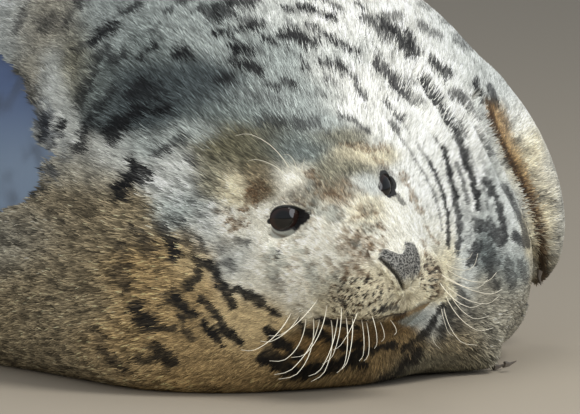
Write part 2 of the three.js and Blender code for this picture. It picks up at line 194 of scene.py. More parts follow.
def make_mesh(name, v, t):
    me = bpy.data.meshes.new(name)
    me.vertices.add(len(v))
    me.vertices.foreach_set("co", ((v - SHOULDER) * 0.001).ravel())
    me.loops.add(t.size)
    me.loops.foreach_set("vertex_index", t.ravel().astype(np.int32))
    me.polygons.add(len(t))
    me.polygons.foreach_set("loop_start", np.arange(0, t.size, 3, dtype=np.int32))
    me.update(calc_edges=True)
    me.polygons.foreach_set("use_smooth", np.ones(len(t), bool))
    ob = bpy.data.objects.new(name, me)
    bpy.context.scene.collection.objects.link(ob)
    return ob


def joined(parts):
    """Several sets of corners and triangles as one."""
    starts = np.cumsum([0] + [len(v) for v, _ in parts[:-1]])
    v = np.concatenate([v for v, _ in parts])
    return v, np.concatenate([t + at for (_, t), at in zip(parts, starts)])


def ball(centre, radius):
    b = bmesh.new()
    bmesh.ops.create_icosphere(b, subdivisions=4, radius=radius)
    v = np.array([x.co for x in b.verts]) + centre
    t = np.array([[x.index for x in f.verts] for f in b.faces])
    b.free()
    return v, t


# ---------------------------------------------------------------- one skin
EYES = {s: from_head(EYE_CENTRE * [1, s, 1]) for s in SIDES}
GROWN, EYE_MARGIN = 0.6, 0.5
VOXEL = 0.0054


def flesh_surface():
    """The flesh and the eyes, grown a little so that they meet, as one closed surface."""
    parts = []
    for name in FLESH:
        v, t = mesh_arrays(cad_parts[name].data)
        _, first, same = np.unique(np.round(v, 3), axis=0, return_index=True, return_inverse=True)
        v, t = v[first], same.reshape(-1)[t]
        parts.append((v + GROWN * vertex_normals(v, t), t))
    parts += [ball(EYES[s], EYE_RADIUS + EYE_MARGIN) for s in SIDES]
    ob = make_mesh("blank", *joined(parts))
    voxels = ob.modifiers.new("voxels", "REMESH")
    voxels.mode = "VOXEL"
    voxels.voxel_size = VOXEL
    graph = bpy.context.evaluated_depsgraph_get()
    v, t = mesh_arrays(ob.evaluated_get(graph).to_mesh())
    bpy.data.objects.remove(ob)
    return v, t


def largest_piece(v, t):
    label = np.arange(len(v))
    e = np.unique(edges_of(t), axis=0)
    while True:
        low = np.minimum(label[e[:, 0]], label[e[:, 1]])
        new = label.copy()
        np.minimum.at(new, e[:, 0], low)
        np.minimum.at(new, e[:, 1], low)
        new = new[new]
        if (new == label).all():
            break
        label = new
    keep = label == np.bincount(label).argmax()
    index = np.cumsum(keep) - 1
    return v[keep], index[t[keep[t].all(1)]]


def face_weight(p):
    """1 over the face, 0 behind the head."""
    q = in_head(p)
    return step(q[:, 0], -60, -20) * step(-np.abs(q[:, 2] + 25), -100, -80)


# ---------------------------------------------------------------- patterns
def noise(p, size, seed):
    """Smooth value noise, 0 to 1."""
    q = p / size + seed * 17.31
    i = np.floor(q)
    f = q - i
    f = f * f * (3 - 2 * f)
    out = np.zeros(len(p))
    for c in range(8):
        o = np.array([c & 1, (c >> 1) & 1, (c >> 2) & 1])
        h = np.sin((i + o) @ np.array([127.1, 311.7, 74.7]) + seed) * 43758.5453
        w = np.prod(np.where(o, f, 1 - f), 1)
        out += w * (h - np.floor(h))
    return out


def clouds(p, size, seed, rounds=3):
    total, amount = np.zeros(len(p)), 0.0
    for k in range(rounds):
        total += noise(p, size / 2**k, seed + k) / 2**k
        amount += 1 / 2**k
    return total / amount


# ---------------------------------------------------------------- shaping the skin
FLOW_FROM = from_head(np.array([63.0, 0.0, -41.0]))
COAT_DEPTH, FACE_COAT, BARE_DEPTH = 1.6, 0.8, 0.2
LOWEST = 0.5
SMOOTH_ROUNDS = 150
# how much of the smoothing each solid takes
SMOOTHING = {"trunk": 1.0, "hindquarters": 1.0, "neck": 0.75, "head": 0.1, "tail": 0.1}
# deep in mm, half width in view dots, then the line of each pleat of the neck across the view
PLEATS = [
    (2.6, 3.0, 416, 74, 430, 98, 440, 110, 448, 126, 455, 138, 461, 152, 465, 166, 471, 180, 475, 195,
     477, 210, 477, 232),
    (2.8, 2.4, 395, 134, 410, 155, 424, 177, 432, 194, 438, 212, 441, 232, 441, 250),
    (1.8, 2.6, 424, 154, 433, 173, 439, 187, 443, 200, 446, 214, 447, 230, 447, 252),
    (2.2, 2.8, 431, 135, 441, 150, 446, 162, 449, 176, 453, 192, 457, 208, 458, 228, 456, 254),
    (2.0, 3.0, 457, 122, 465, 140, 474, 160, 484, 182, 491, 196, 498, 207, 502, 222, 503, 240,
     502, 260),
    (1.8, 3.0, 480, 136, 492, 156, 500, 175, 506, 191, 513, 203, 520, 216, 526, 232, 529, 250),
    (1.6, 2.6, 466, 108, 476, 128, 486, 148, 497, 168, 506, 184, 514, 198, 520, 208),
    (1.2, 3.0, 384, 102, 392, 115, 402, 126, 412, 142, 420, 158),
    (1.4, 3.4, 372, 66, 385, 78, 395, 90, 405, 99, 418, 112, 428, 130, 436, 142),
    (1.0, 4.0, 108, 52, 98, 76, 88, 94, 83, 112, 84, 140, 90, 156),
    (1.0, 4.0, 80, 60, 72, 84, 68, 110, 70, 134),
]
CREASE_DEEP, CREASE_WIDE = 9.0, 4.5
CREASE = np.reshape(
    [
        482, 98, 488, 118, 493, 132, 498, 143, 503, 153, 510, 166, 517, 180, 524, 195, 530, 210,
        535, 226, 538, 242, 540, 258, 540, 272, 537, 284,
    ],
    (-1, 2),
)


def regions(p):
    """How much smoothing each skin vertex takes, by the solid nearest to it."""
    parts = [mesh_arrays(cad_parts[name].data) for name in FLESH]
    tags = [np.full(len(t), SMOOTHING.get(name, 0.05)) for name, (_, t) in zip(FLESH, parts)]
    tags = np.concatenate(tags)
    v, t = joined(parts)
    tree = BVHTree.FromPolygons(v.tolist(), t.tolist())
    return np.array([tags[tree.find_nearest(Vector(q))[2]] for q in p.tolist()])


def eye_axes(s):
    """The way an eye looks, the line of its opening towards the outer corner, and up from that."""
    mirror = np.array([1, s, 1])
    look = unit(EYE_LOOK * mirror)
    along = EYE_SPAN * mirror
    along = unit(along - (along @ look) * look)
    over = np.cross(look, along)
    return look, along, over * np.sign(over[2])


# how far each eye opens towards its inner and outer corners, up and down
OPENINGS = {-1: (15.4, 10.2, 7.9, 7.3), 1: (9.4, 7.6, 8.7, 5.6)}
SOCKET, LID = 16.6, EYE_RADIUS + 1.1


def lid_distance(q, s):
    """Distance outside the eye's opening, closeness to the way it looks, place along and over it."""
    look, along, over = eye_axes(s)
    n = unit(q - EYE_CENTRE * [1, s, 1])
    c = np.clip(n @ look, -1, 1)
    arc = EYE_RADIUS * np.arccos(c) / np.sqrt(np.maximum(1 - c * c, 1e-6))
    a, b = n @ along * arc, n @ over * arc
    inner, outer, top, bottom = OPENINGS[s]
    half = np.where(a < 0, inner, outer)
    power = np.where(a < 0, 1.7, 2.6)
    reach = np.clip(1 - np.abs(a / half) ** power, 0, 1)
    high = np.where(b > 0, top, bottom) * reach**0.62
    outside = np.hypot(np.maximum(np.abs(a) - half, 0), np.maximum(np.abs(b) - high, 0))
    inside = np.minimum(high - np.abs(b), half - np.abs(a))
    d = np.where((np.abs(a) < half) & (np.abs(b) < high), -inside, outside)
    return d, c, a, b


def corner_mask(q, s):
    """The dark inner corner drawn out from the lids towards the nose."""
    _, along, over = eye_axes(s)
    r = q - EYE_CENTRE * [1, s, 1]
    a, b = r @ along, r @ over
    tall = np.interp(a, [-21.0, -19.0, -16.0, -13.0], [0.1, 1.4, 4.0, 6.0])
    return step(tall - np.abs(b - 0.2), -0.3, 0.5) * band(a, -21.0, -20.0, -13.0, -11.5)


def lid_rim(a, b, s):
    """How wide the black edge of the lids is round the opening."""
    rim = 2.1 + 0.6 * step(b, 2.5, 6.5) - 0.7 * step(-b, 2.0, 5.5)
    return rim + (s > 0) * (1.2 + 1.8 * step(a, 3.0, 7.0))


def under_lid(a, b, low):
    """1 along the middle of the lower lid."""
    return step(-b, 2.5, low) * band(a, -11.0, -7.0, 8.5, 11.5)


def shape_eyes(v):
    q = in_head(v)
    for s in SIDES:
        centre = EYE_CENTRE * [1, s, 1]
        r = from_eye(q, s)
        n = unit(q - centre)
        d, c, a, _ = lid_distance(q, s)
        near = (r < 34) & (c > 0.1)
        rim = SOCKET + (LID - SOCKET) * step(d, -1.0, 0.5)
        crease = 0.8 * bell(d - 4.6, 1.2) * step(-np.abs(a), -12, -8)
        swell = 0.8 * bell(d - 2.2, 1.4) + (s > 0) * 1.3 * bell(d - 2.4, 1.8) * step(a, 2.0, 7.0)
        rise = (np.maximum(r, LID) - LID) * step(d, 0.5, 9.0)
        want = np.where(d < 0.5, rim, LID + rise + swell - crease)
        pull = near * step(-d, -16.0, -9.0) * step(c, 0.12, 0.3)
        q = np.where(near[:, None], centre + n * (r + (want - r) * pull)[:, None], q)
    return from_head(q)


def round_eyes(v):
    """Where the funnel of skin round each eye may be smoothed, rim left alone."""
    q = in_head(v)
    out = np.zeros(len(v))
    for s in SIDES:
        d, c, _, _ = lid_distance(q, s)
        near = (from_eye(q, s) < 36) & (c > 0.05)
        out = np.maximum(out, near * band(d, 0.9, 2.4, 12, 18))
    return out


def by_lids(p, reach, ahead, off):
    """Whether a place is within reach of an eye, on its open side and not far off its opening."""
    q = in_head(p)
    out = np.zeros(len(p), bool)
    for s in SIDES:
        d, c, _, _ = lid_distance(q, s)
        out |= (from_eye(q, s) < reach) & (c > ahead) & (d < off)
    return out


def round_lids(p):
    """Edge length wanted after the lids are drawn out: fine close to them."""
    return np.where(by_lids(p, 34, 0.1, 8), 0.9, 99.0)


# height, half the nose pad's width on the right and on the left, and of the notch in its top
PAD = np.reshape(
    [
        -40.5, -2.0, -2.0, -9.0, -39.0, 1.8, 2.0, -9.0, -36.0, 4.2, 5.4, -9.0, -33.0, 5.6, 10.0, -9.0,
        -29.0, 7.4, 13.6, -9.0, -25.0, 9.8, 15.0, -9.0, -21.0, 12.2, 16.0, -9.0,
        -18.0, 13.8, 16.6, -9.0, -15.3, 16.8, 17.2, -2.0, -13.6, 16.2, 17.0, 2.6,
        -12.2, 14.6, 15.2, 4.8, -11.0, 12.8, 13.4, 6.8, -10.2, 10.6, 10.8, 8.6, -9.4, -3.0, -3.0, 9.0,
    ],
    (-1, 4),
)
SLIT = [15.8, -15.8, 13.3, -18.9, 11.4, -22.6, 8.8, -26.5, 6.7, -30.5, 4.7, -35.1, 3.4, -38.8]
SLIT_DEEP, MOUTH_DEEP, EAR_DEEP = 2.8, 4.2, 3.5
MOUTH_AT = [20, 28, 33, 37, 42, 48, 64, 75, 81]
MOUTH_HIGH = [-54, -57, -61, -65.5, -67.6, -67.2, -62.4, -59.6, -58.6]


def pad_inside(q):
    """How far a place lies inside the outline of the nose pad."""
    right, left, notch = (np.interp(q[:, 2], PAD[:, 0], PAD[:, k]) for k in (1, 2, 3))
    side = np.abs(q[:, 1])
    return np.minimum(np.where(q[:, 1] > 0, left, right) - side, side - notch)


def slit_distance(q):
    """Distance from the nostril slits on the front of the nose."""
    return np.where(q[:, 0] > 55, line_distance(np.abs(q[:, 1]), q[:, 2], SLIT), 99.0)


def mouth_height(q):
    """Height of the line of the mouth: lifted at its corner, dipping under the nose."""
    line = np.interp(q[:, 0], MOUTH_AT, MOUTH_HIGH)
    return line - 2.6 * bell(q[:, 1], 10) * step(q[:, 0], 66, 76)


def mouth_distance(q):
    """Height over the line of the mouth, and how strongly the mouth shows here."""
    shows = step(q[:, 0], 22, 32) * step(-np.abs(q[:, 1]), -62, -50)
    return q[:, 2] - mouth_height(q), shows


def fold_depth(v, n):
    """How deep the pleats of the neck and the crease under the flipper go."""
    x, y = on_view(v)
    wobble = 2.0 * (noise(v, 40, 3) - 0.5)
    out = np.zeros(len(v))
    for deep, wide, *line in PLEATS:
        d = line_distance(x, y, line) + wobble
        out += deep * (bell(d, wide) - 0.45 * bell(d - 2.6 * wide, 1.4 * wide))
    crease = CREASE_DEEP * bell(line_distance(x, y, CREASE), CREASE_WIDE) * step(-y, -285, -262)
    return (out * (1 - face_weight(v)) + crease) * step(n @ -LOOK, 0.0, 0.3)


def wanted(p):
    """Edge length wanted before carving: finer where it is looked at, finest round eyes and nose."""
    q = in_head(p)
    x, y = on_view(p)
    towards = step(-(p - EYE_LINE) @ LOOK, -260, -120)
    front = in_box(x, y, -20, 600, -20, 430) & (towards > 0)
    neck = front & in_box(x, y, 372, 545, 60, 290)
    head = (q[:, 0] > -40) & (np.abs(q[:, 1]) < 85) & (q[:, 2] > -110) & (q[:, 2] < 60)
    eye = by_lids(p, 32, 0.2, 7)
    nose = (q[:, 0] > 60) & (q[:, 2] > -50) & (q[:, 2] < 0) & (np.abs(q[:, 1]) < 22)
    mouth = (np.abs(q[:, 2] - mouth_height(q)) < 7) & (q[:, 0] > 20) & (np.abs(q[:, 1]) < 60)
    return np.select([eye, nose | mouth, head, neck, front], [1.0, 1.3, 2.7, 3.2, 6.4], 30.0)


def face_depth(v):
    """How deep the mouth, nostrils and ears go, less what stands proud, and where the nose is bare."""
    q = in_head(v)
    up, shows = mouth_distance(q)
    ahead = step(q[:, 0], 36, 60)
    deep = MOUTH_DEEP * bell(up, 1.4) * shows
    deep += 3.2 * step(-up, 0.0, 2.0) * step(up, -24.0, -4.0) * shows * ahead
    deep -= 1.2 * bell(up - 6.0, 4.0) * shows * ahead
    slit = slit_distance(q)
    deep += SLIT_DEEP * (1.0 - 0.7 * step(q[:, 1], -1, 1)) * bell(slit, 1.1)
    deep -= 1.3 * bell(slit - 4.5, 2.4) * step(-pad_inside(q), 0.0, 1.0)
    groove = bell(q[:, 1], 1.3) * step(q[:, 0], 60, 70)
    deep += 0.9 * groove * band(q[:, 2], -62, -56, -22, -14)
    bare = step(pad_inside(q), -1.0, 1.0) * step(q[:, 0], 55, 62)
    deep -= 0.5 * bare
    for s in SIDES:
        deep += EAR_DEEP * bell(np.linalg.norm(q - EAR * [1, s, 1], axis=1), 2.6)
    return deep, bare


def shape_skin():
    v, t = largest_piece(*flesh_surface())
    weight = relax(np.stack([regions(v)] * 3, 1), t, np.full(len(v), 0.5), 40)[:, 0]
    heavy = np.clip(weight, 0, 1) * 0.6
    smooth = relax(v, t, heavy, SMOOTH_ROUNDS)
    # what the smoothing took from the whole is given back, so that only the bumps go
    v = smooth - relax(smooth - v, t, heavy, SMOOTH_ROUNDS)
    v = relax(v, t, np.clip(0.5 - heavy * 0.5, 0.05, 0.5), 6)
    for _ in range(4):
        v, t = refine(v, t, wanted)
        v = relax(v, t, np.full(len(v), 0.35), 1)
    n = vertex_normals(v, t)
    v = shape_eyes(v - n * fold_depth(v, n)[:, None])
    v = relax(v, t, 0.5 * round_eyes(v), 26)
    for _ in range(3):
        v, t = refine(v, t, round_lids)
    v = relax(v, t, 0.5 * round_eyes(v), 5)
    deep, bare = face_depth(v)
    v = v - vertex_normals(v, t) * deep[:, None]
    depth = COAT_DEPTH + (FACE_COAT - COAT_DEPTH) * face_weight(v)
    v = v - vertex_normals(v, t) * (depth * (1 - bare) + BARE_DEPTH * bare)[:, None]
    v[:, 2] = np.maximum(v[:, 2], LOWEST)
    return v, t


# ---------------------------------------------------------------- markings
def paint(red, green, blue):
    c = np.array([red, green, blue]) / 255.0
    return np.where(c <= 0.04045, c / 12.92, ((c + 0.055) / 1.055) ** 2.4)


WHITE, CREAM, PALE = paint(226, 226, 217), paint(232, 228, 210), paint(190, 193, 187)
ASH, SLATE, DUSK = paint(146, 153, 149), paint(104, 112, 109), paint(60, 67, 68)
# the first two colours on the next line are painted warm light bounced up from below, with painted
# shade
BOUNCE_TAN, BOUNCE_SAND, OLIVE = paint(150, 128, 90), paint(186, 166, 126), paint(84, 81, 64)
UMBER, SOOT, OCHRE = paint(82, 62, 42), paint(10, 10, 11), paint(214, 204, 174)
STONE, DRAB, BONE = paint(140, 136, 122), paint(122, 111, 88), paint(176, 174, 163)
RUST, SEPIA, MOSS = paint(150, 112, 62), paint(48, 32, 18), paint(118, 115, 98)
# the last colour on the next line is painted shade for the hollow under the flipper
CHIN, FAWN, HOLLOW_SHADE_BROWN = paint(112, 90, 56), paint(190, 182, 160), paint(116, 94, 64)
LID_PALE, LID_LINE, LID_GREY = paint(132, 134, 124), paint(66, 56, 42), paint(92, 88, 84)
BAG, RIM_BLACK, CORNER = paint(132, 130, 116), paint(9, 9, 10), paint(18, 16, 16)
# the first colour on the next line is the dark lip line, partly painted shadow under the whisker pad
LIP_LINE_AND_SHADOW, EAR_DARK, SLIT_DARK = paint(34, 22, 14), paint(40, 32, 24), paint(14, 11, 10)
# the first three colours on the next line are the painted sky reflection on the wet patch: blue,
# paler, and its darker mottles
REFLECTED_SKY_BLUE, REFLECTED_SKY_PALE, WET_DARK = paint(70, 88, 124), paint(122, 140, 162), paint(60, 66, 76)
SOAKED, NOSE_GREY = paint(46, 50, 56), paint(102, 101, 96)

# across, down, reach across, reach down, colour
ZONES = [
    (0, 12, 24, 34, PALE), (-60, 40, 50, 60, ASH), (48, 26, 28, 22, STONE), (80, 66, 16, 28, MOSS),
    (112, 28, 26, 24, ASH), (60, 98, 12, 36, PALE), (32, 84, 12, 20, STONE), (76, 138, 8, 20, PALE),
    (102, 84, 16, 28, SLATE), (150, 45, 32, 20, SLATE), (165, 92, 46, 24, DUSK),
    (215, 96, 30, 16, DUSK), (125, 118, 24, 16, DUSK), (190, 25, 36, 22, ASH),
    (112, 158, 26, 13, PALE), (150, 150, 24, 9, ASH), (182, 178, 18, 18, PALE), (200, 136, 18, 7, ASH),
    (262, 52, 30, 20, ASH), (280, 20, 30, 18, PALE), (345, 22, 34, 22, WHITE), (345, 58, 24, 14, PALE),
    (365, 98, 28, 20, WHITE), (285, 104, 44, 13, ASH), (245, 118, 34, 10, SLATE),
    (322, 126, 18, 10, ASH), (400, 70, 22, 26, WHITE), (340, 142, 22, 8, MOSS),
    (85, 172, 30, 20, STONE), (60, 205, 40, 18, DRAB), (420, 60, 30, 30, WHITE),
    (400, 120, 26, 26, WHITE), (425, 185, 18, 46, WHITE), (455, 45, 22, 26, PALE),
    (448, 150, 18, 36, WHITE), (470, 170, 10, 40, WHITE), (490, 195, 12, 34, PALE),
    (510, 205, 10, 28, PALE), (500, 95, 16, 20, PALE), (522, 118, 14, 18, WHITE),
    (525, 150, 14, 26, OCHRE), (548, 165, 9, 30, BONE), (562, 215, 7, 40, BONE),
    (540, 215, 12, 30, OCHRE), (550, 262, 12, 20, STONE), (545, 284, 10, 8, DRAB),
    (465, 235, 8, 40, PALE), (484, 240, 10, 24, SLATE), (512, 238, 8, 20, PALE),
    (510, 270, 12, 16, ASH), (500, 295, 22, 18, STONE), (490, 325, 25, 16, STONE),
    (520, 355, 25, 20, STONE), (450, 340, 22, 16, DRAB), (440, 365, 34, 15, MOSS),
    (432, 322, 12, 10, PALE), (20, 230, 40, 30, STONE), (75, 240, 40, 28, DRAB),
    (60, 300, 50, 35, DRAB), (60, 360, 70, 20, DRAB), (130, 225, 30, 18, DRAB),
    # the tan and sand zones on the next four lines are painted warm bounce light and shade low on the
    # body
    (150, 275, 34, 24, BOUNCE_TAN), (170, 300, 34, 26, BOUNCE_TAN), (130, 345, 36, 22, BOUNCE_TAN), (200, 360, 40, 25, BOUNCE_TAN),
    (250, 325, 30, 20, BOUNCE_SAND), (195, 262, 16, 22, BOUNCE_SAND), (210, 235, 12, 18, PALE),
    (185, 215, 16, 16, ASH), (245, 315, 20, 16, BOUNCE_SAND), (300, 345, 30, 12, CHIN),
    (355, 335, 34, 8, CHIN), (360, 358, 24, 8, BOUNCE_TAN), (260, 382, 60, 10, BOUNCE_TAN), (400, 342, 14, 8, BOUNCE_TAN),
    (246, 150, 36, 17, OLIVE), (300, 150, 30, 12, SLATE), (215, 178, 14, 14, MOSS),
    (340, 172, 22, 10, MOSS), (350, 157, 15, 6, OCHRE), (380, 157, 14, 6, OCHRE),
    (294, 176, 15, 9, CREAM), (264, 178, 12, 10, DRAB), (237, 187, 8, 11, OCHRE),
    (310, 192, 12, 10, STONE), (335, 194, 16, 9, DRAB), (365, 188, 14, 8, PALE),
    (415, 190, 8, 22, WHITE), (330, 225, 30, 22, CREAM), (365, 215, 14, 10, OCHRE),
    (402, 220, 16, 18, CREAM), (240, 262, 16, 14, PALE), (262, 275, 22, 18, CREAM),
    (300, 270, 28, 24, CREAM), (345, 290, 22, 20, OCHRE), (335, 258, 20, 16, CREAM),
    (372, 300, 22, 14, OCHRE), (430, 235, 12, 14, CREAM), (435, 272, 14, 20, OCHRE),
    (232, 232, 10, 16, CREAM), (392, 329, 18, 5, CHIN), (412, 318, 12, 4, ASH),
]

# strength, half width in view dots, then the line the mark follows across the view
SPOTS = [
    (0.5, 2.0, 394, 193, 399, 199, 404, 205), (0.6, 0.8, 306, 213, 314, 211),
    (0.5, 2.0, 455, 165, 462, 184, 466, 204), (0.6, 9, 140, 97, 160, 96),
    (0.5, 1.1, 395, 134, 410, 155, 424, 177, 432, 194, 438, 212, 441, 232),
    (0.35, 0.9, 403, 128, 416, 146, 428, 166, 436, 184, 441, 200),
    (0.35, 1.0, 466, 150, 476, 172, 483, 192, 487, 212), (0.4, 1.0, 478, 160, 486, 178, 493, 192),
    (0.3, 1.0, 468, 200, 470, 222, 468, 244), (0.9, 6, 97, 44, 108, 37, 120, 27),
    (0.45, 4, 80, 52, 90, 48), (0.4, 4, 30, 12, 22, 34), (0.4, 8, 48, 28, 58, 20),
    (0.5, 4, 70, 28, 75, 15), (0.6, 4, 82, 2, 84, 8), (0.7, 3.5, 128, 17, 145, 8),
    (0.7, 5, 185, 5, 193, 3), (0.6, 3, 168, 18, 174, 15), (0.5, 3, 157, 38, 163, 28),
    (0.6, 5, 112, 52, 103, 64, 98, 76, 88, 92, 84, 108), (0.6, 5, 118, 66, 130, 58),
    (0.75, 4, 147, 62, 160, 50), (0.95, 5.5, 182, 60, 192, 58), (0.7, 4, 86, 98, 96, 90),
    (0.55, 5, 114, 100, 122, 94), (0.7, 4, 100, 113, 110, 108), (0.75, 6, 133, 99, 150, 88),
    (0.95, 7, 125, 130, 140, 117, 150, 112), (0.9, 6, 112, 134, 125, 126),
    (0.8, 5, 118, 145, 124, 138), (0.98, 5, 160, 117, 175, 111), (0.75, 4.5, 88, 140, 98, 122),
    (0.75, 5, 84, 151, 90, 143), (0.85, 3, 64, 136, 70, 122), (0.9, 5, 47, 140, 52, 130, 50, 123),
    (0.65, 4, 160, 158, 175, 152, 190, 143), (0.65, 4, 195, 162, 200, 166),
    (0.95, 8, 128, 195, 136, 180, 140, 168), (0.85, 5, 140, 173, 157, 176, 150, 185),
    (0.45, 7, 15, 76, 38, 92), (0.6, 3, 20, 100, 35, 100), (0.45, 5, 40, 108, 50, 120),
    (0.75, 7, 222, 14, 240, 8, 258, 4), (0.65, 5, 208, 18, 222, 23, 236, 20),
    (0.6, 5, 205, 14, 214, 18), (0.5, 3, 245, 27, 256, 27),
    (0.9, 4, 218, 41, 235, 37, 250, 33, 266, 31), (0.98, 6.5, 240, 54, 252, 57),
    (0.4, 4, 256, 55, 264, 55), (0.95, 4, 237, 68, 247, 71, 256, 73, 264, 79),
    (0.7, 5, 222, 86, 236, 85), (0.85, 3.5, 268, 45, 278, 49),
    (0.9, 6, 285, 42, 298, 40, 304, 48, 318, 52), (0.5, 3, 290, 56, 296, 57),
    (0.8, 3, 285, 14, 294, 17), (0.85, 4, 302, 13, 316, 17), (0.95, 3, 322, 21, 335, 25),
    (0.7, 3.5, 312, 1, 325, 4, 332, 9, 343, 15), (0.85, 2.5, 308, 31, 318, 34),
    (0.45, 2.5, 287, 27, 294, 32), (0.9, 3.2, 322, 40, 335, 46, 348, 54, 360, 60),
    (0.95, 5, 325, 70, 335, 71, 344, 75), (0.8, 3, 344, 76, 352, 83, 358, 88),
    (0.75, 3, 357, 94, 366, 103), (0.6, 2, 300, 64, 307, 68), (0.85, 2.8, 305, 74, 313, 77),
    (0.7, 3, 272, 92, 283, 94), (0.75, 4, 286, 88, 298, 91), (0.55, 2.5, 326, 85, 342, 90),
    (0.3, 2, 302, 97, 320, 101, 345, 107), (0.75, 3, 358, 10, 365, 14),
    (0.65, 5, 365, 24, 376, 30, 385, 45), (0.6, 7, 382, 30, 392, 24, 398, 20),
    (0.88, 7, 383, 32, 395, 40, 405, 50, 414, 58), (0.9, 4, 405, 37, 412, 50),
    (0.35, 2, 365, 44, 380, 58, 395, 60), (0.85, 4.5, 374, 68, 385, 78, 395, 90, 405, 99),
    (0.5, 4, 405, 99, 418, 107), (0.5, 2.5, 403, 82, 415, 92),
    (0.8, 2.2, 384, 105, 392, 115, 402, 124), (0.6, 2, 340, 120, 355, 124, 364, 131, 371, 136),
    (0.6, 2.5, 390, 126, 397, 134), (0.5, 5, 262, 124, 290, 128, 318, 127),
    (0.35, 5, 255, 102, 285, 108), (0.9, 2.8, 420, 80, 430, 98, 440, 110, 448, 126, 455, 138),
    (0.85, 3.4, 455, 138, 461, 152, 465, 166, 471, 180, 475, 195, 477, 208),
    (0.85, 1.9, 426, 160, 433, 173, 439, 187, 443, 200, 446, 214, 447, 230, 447, 248),
    (0.92, 2.7, 441, 150, 446, 162, 449, 176, 452, 190, 456, 198),
    (0.7, 3, 454, 200, 458, 215, 458, 232, 456, 252), (0.6, 1.6, 433, 140, 439, 149),
    (0.6, 1.9, 457, 125, 464, 139), (0.5, 2, 474, 130, 477, 137),
    (0.5, 2.5, 480, 138, 486, 148, 492, 156),
    (0.75, 3.4, 484, 182, 491, 196, 498, 207, 501, 222, 503, 240),
    (0.65, 3.4, 503, 188, 511, 200, 519, 215, 525, 230, 528, 246),
    (0.6, 7, 478, 225, 490, 228, 497, 240), (0.65, 5, 470, 262, 476, 246),
    (0.45, 5, 486, 245, 495, 262), (0.7, 5, 516, 238, 526, 244), (0.6, 6, 455, 100, 467, 106),
    (0.5, 3, 467, 108, 478, 120), (0.9, 3, 475, 84, 480, 98), (0.85, 5, 484, 103, 494, 107),
    (0.65, 4, 490, 90, 494, 100), (0.8, 4.5, 430, 66, 438, 75, 447, 80),
    (0.5, 4.5, 421, 30, 430, 38, 440, 42), (0.35, 4, 422, 8, 430, 12), (0.35, 2.5, 442, 25, 456, 29),
    (0.4, 6, 458, 42, 468, 52, 472, 46), (0.5, 5, 502, 118, 507, 128), (0.4, 3, 513, 141, 518, 141),
    (0.6, 4, 505, 161, 515, 168), (0.35, 5, 526, 168, 535, 182), (0.5, 5, 528, 190, 536, 200),
    (0.35, 4, 545, 195, 550, 205), (0.4, 3, 553, 230, 557, 238), (0.4, 4, 545, 262, 551, 280),
    (0.3, 5, 520, 148, 530, 155), (0.5, 5, 487, 262, 493, 285), (0.4, 5, 505, 262, 512, 285),
    (0.35, 4, 520, 262, 524, 280), (0.5, 4, 455, 285, 462, 300, 468, 315),
    (0.85, 3.2, 440, 305, 432, 320, 424, 331, 414, 339, 403, 346),
    (0.7, 5, 450, 303, 446, 318, 440, 332), (0.5, 4, 458, 312, 455, 328),
    (0.95, 2.6, 318, 318, 332, 322, 346, 325, 358, 327), (0.8, 4, 303, 321, 308, 330, 320, 334),
    (0.95, 4, 322, 331, 333, 338, 345, 346, 362, 342),
    (0.97, 5.5, 270, 328, 280, 340, 290, 345, 300, 353),
    (0.97, 6, 264, 356, 275, 360, 290, 366, 310, 370, 330, 364, 350, 358, 362, 352),
    (0.9, 3.5, 362, 352, 378, 346, 395, 342), (0.6, 4, 270, 350, 290, 356),
    (0.9, 3, 355, 362, 366, 362), (0.85, 5.5, 416, 350, 405, 358, 397, 368, 385, 378, 376, 384),
    # the first mark on the next line is a painted shadow along the floor under the chin, not a blotch
    (0.6, 5, 290, 388, 340, 393, 385, 389), (0.85, 5, 242, 290, 252, 296, 265, 302),
    (0.85, 3, 270, 308, 283, 315), (0.85, 5, 212, 262, 218, 272, 224, 286, 232, 298, 236, 305),
    (0.75, 4, 192, 287, 202, 276, 204, 266, 198, 255),
    (0.8, 4, 205, 298, 213, 306, 222, 318, 226, 325), (0.95, 5.5, 208, 324, 216, 332, 222, 340),
    (0.93, 4.5, 226, 329, 235, 334, 243, 342), (0.88, 9, 178, 298, 185, 308, 192, 314),
    (0.7, 4, 166, 328, 178, 328), (0.6, 4, 190, 330, 194, 338),
    (0.88, 8, 143, 307, 150, 318, 157, 326), (0.8, 6, 160, 345, 168, 354, 176, 362),
    (0.6, 5, 145, 357, 155, 360), (0.6, 5, 110, 350, 122, 360, 132, 368), (0.9, 7, 178, 243, 180, 256),
    (0.6, 8, 150, 240, 157, 250), (0.55, 5, 167, 225, 173, 235), (0.55, 8, 128, 270, 132, 285),
    (0.5, 5, 125, 245, 133, 257), (0.5, 3, 166, 268, 167, 282), (0.5, 5, 188, 225, 193, 240, 197, 248),
    (0.6, 3, 205, 240, 210, 255), (0.5, 4, 138, 228, 143, 234), (0.4, 5, 230, 262, 237, 270),
    (0.3, 5, 222, 252, 232, 245), (0.45, 4, 238, 241, 250, 243), (0.3, 5, 278, 280, 283, 290),
    (0.97, 2.3, 281, 252, 279, 258), (0.4, 6, 100, 330, 112, 338), (0.95, 2.2, 396, 318, 404, 314),
    (0.75, 2.4, 341, 300, 346, 306), (0.6, 3, 385, 308, 396, 306),
]

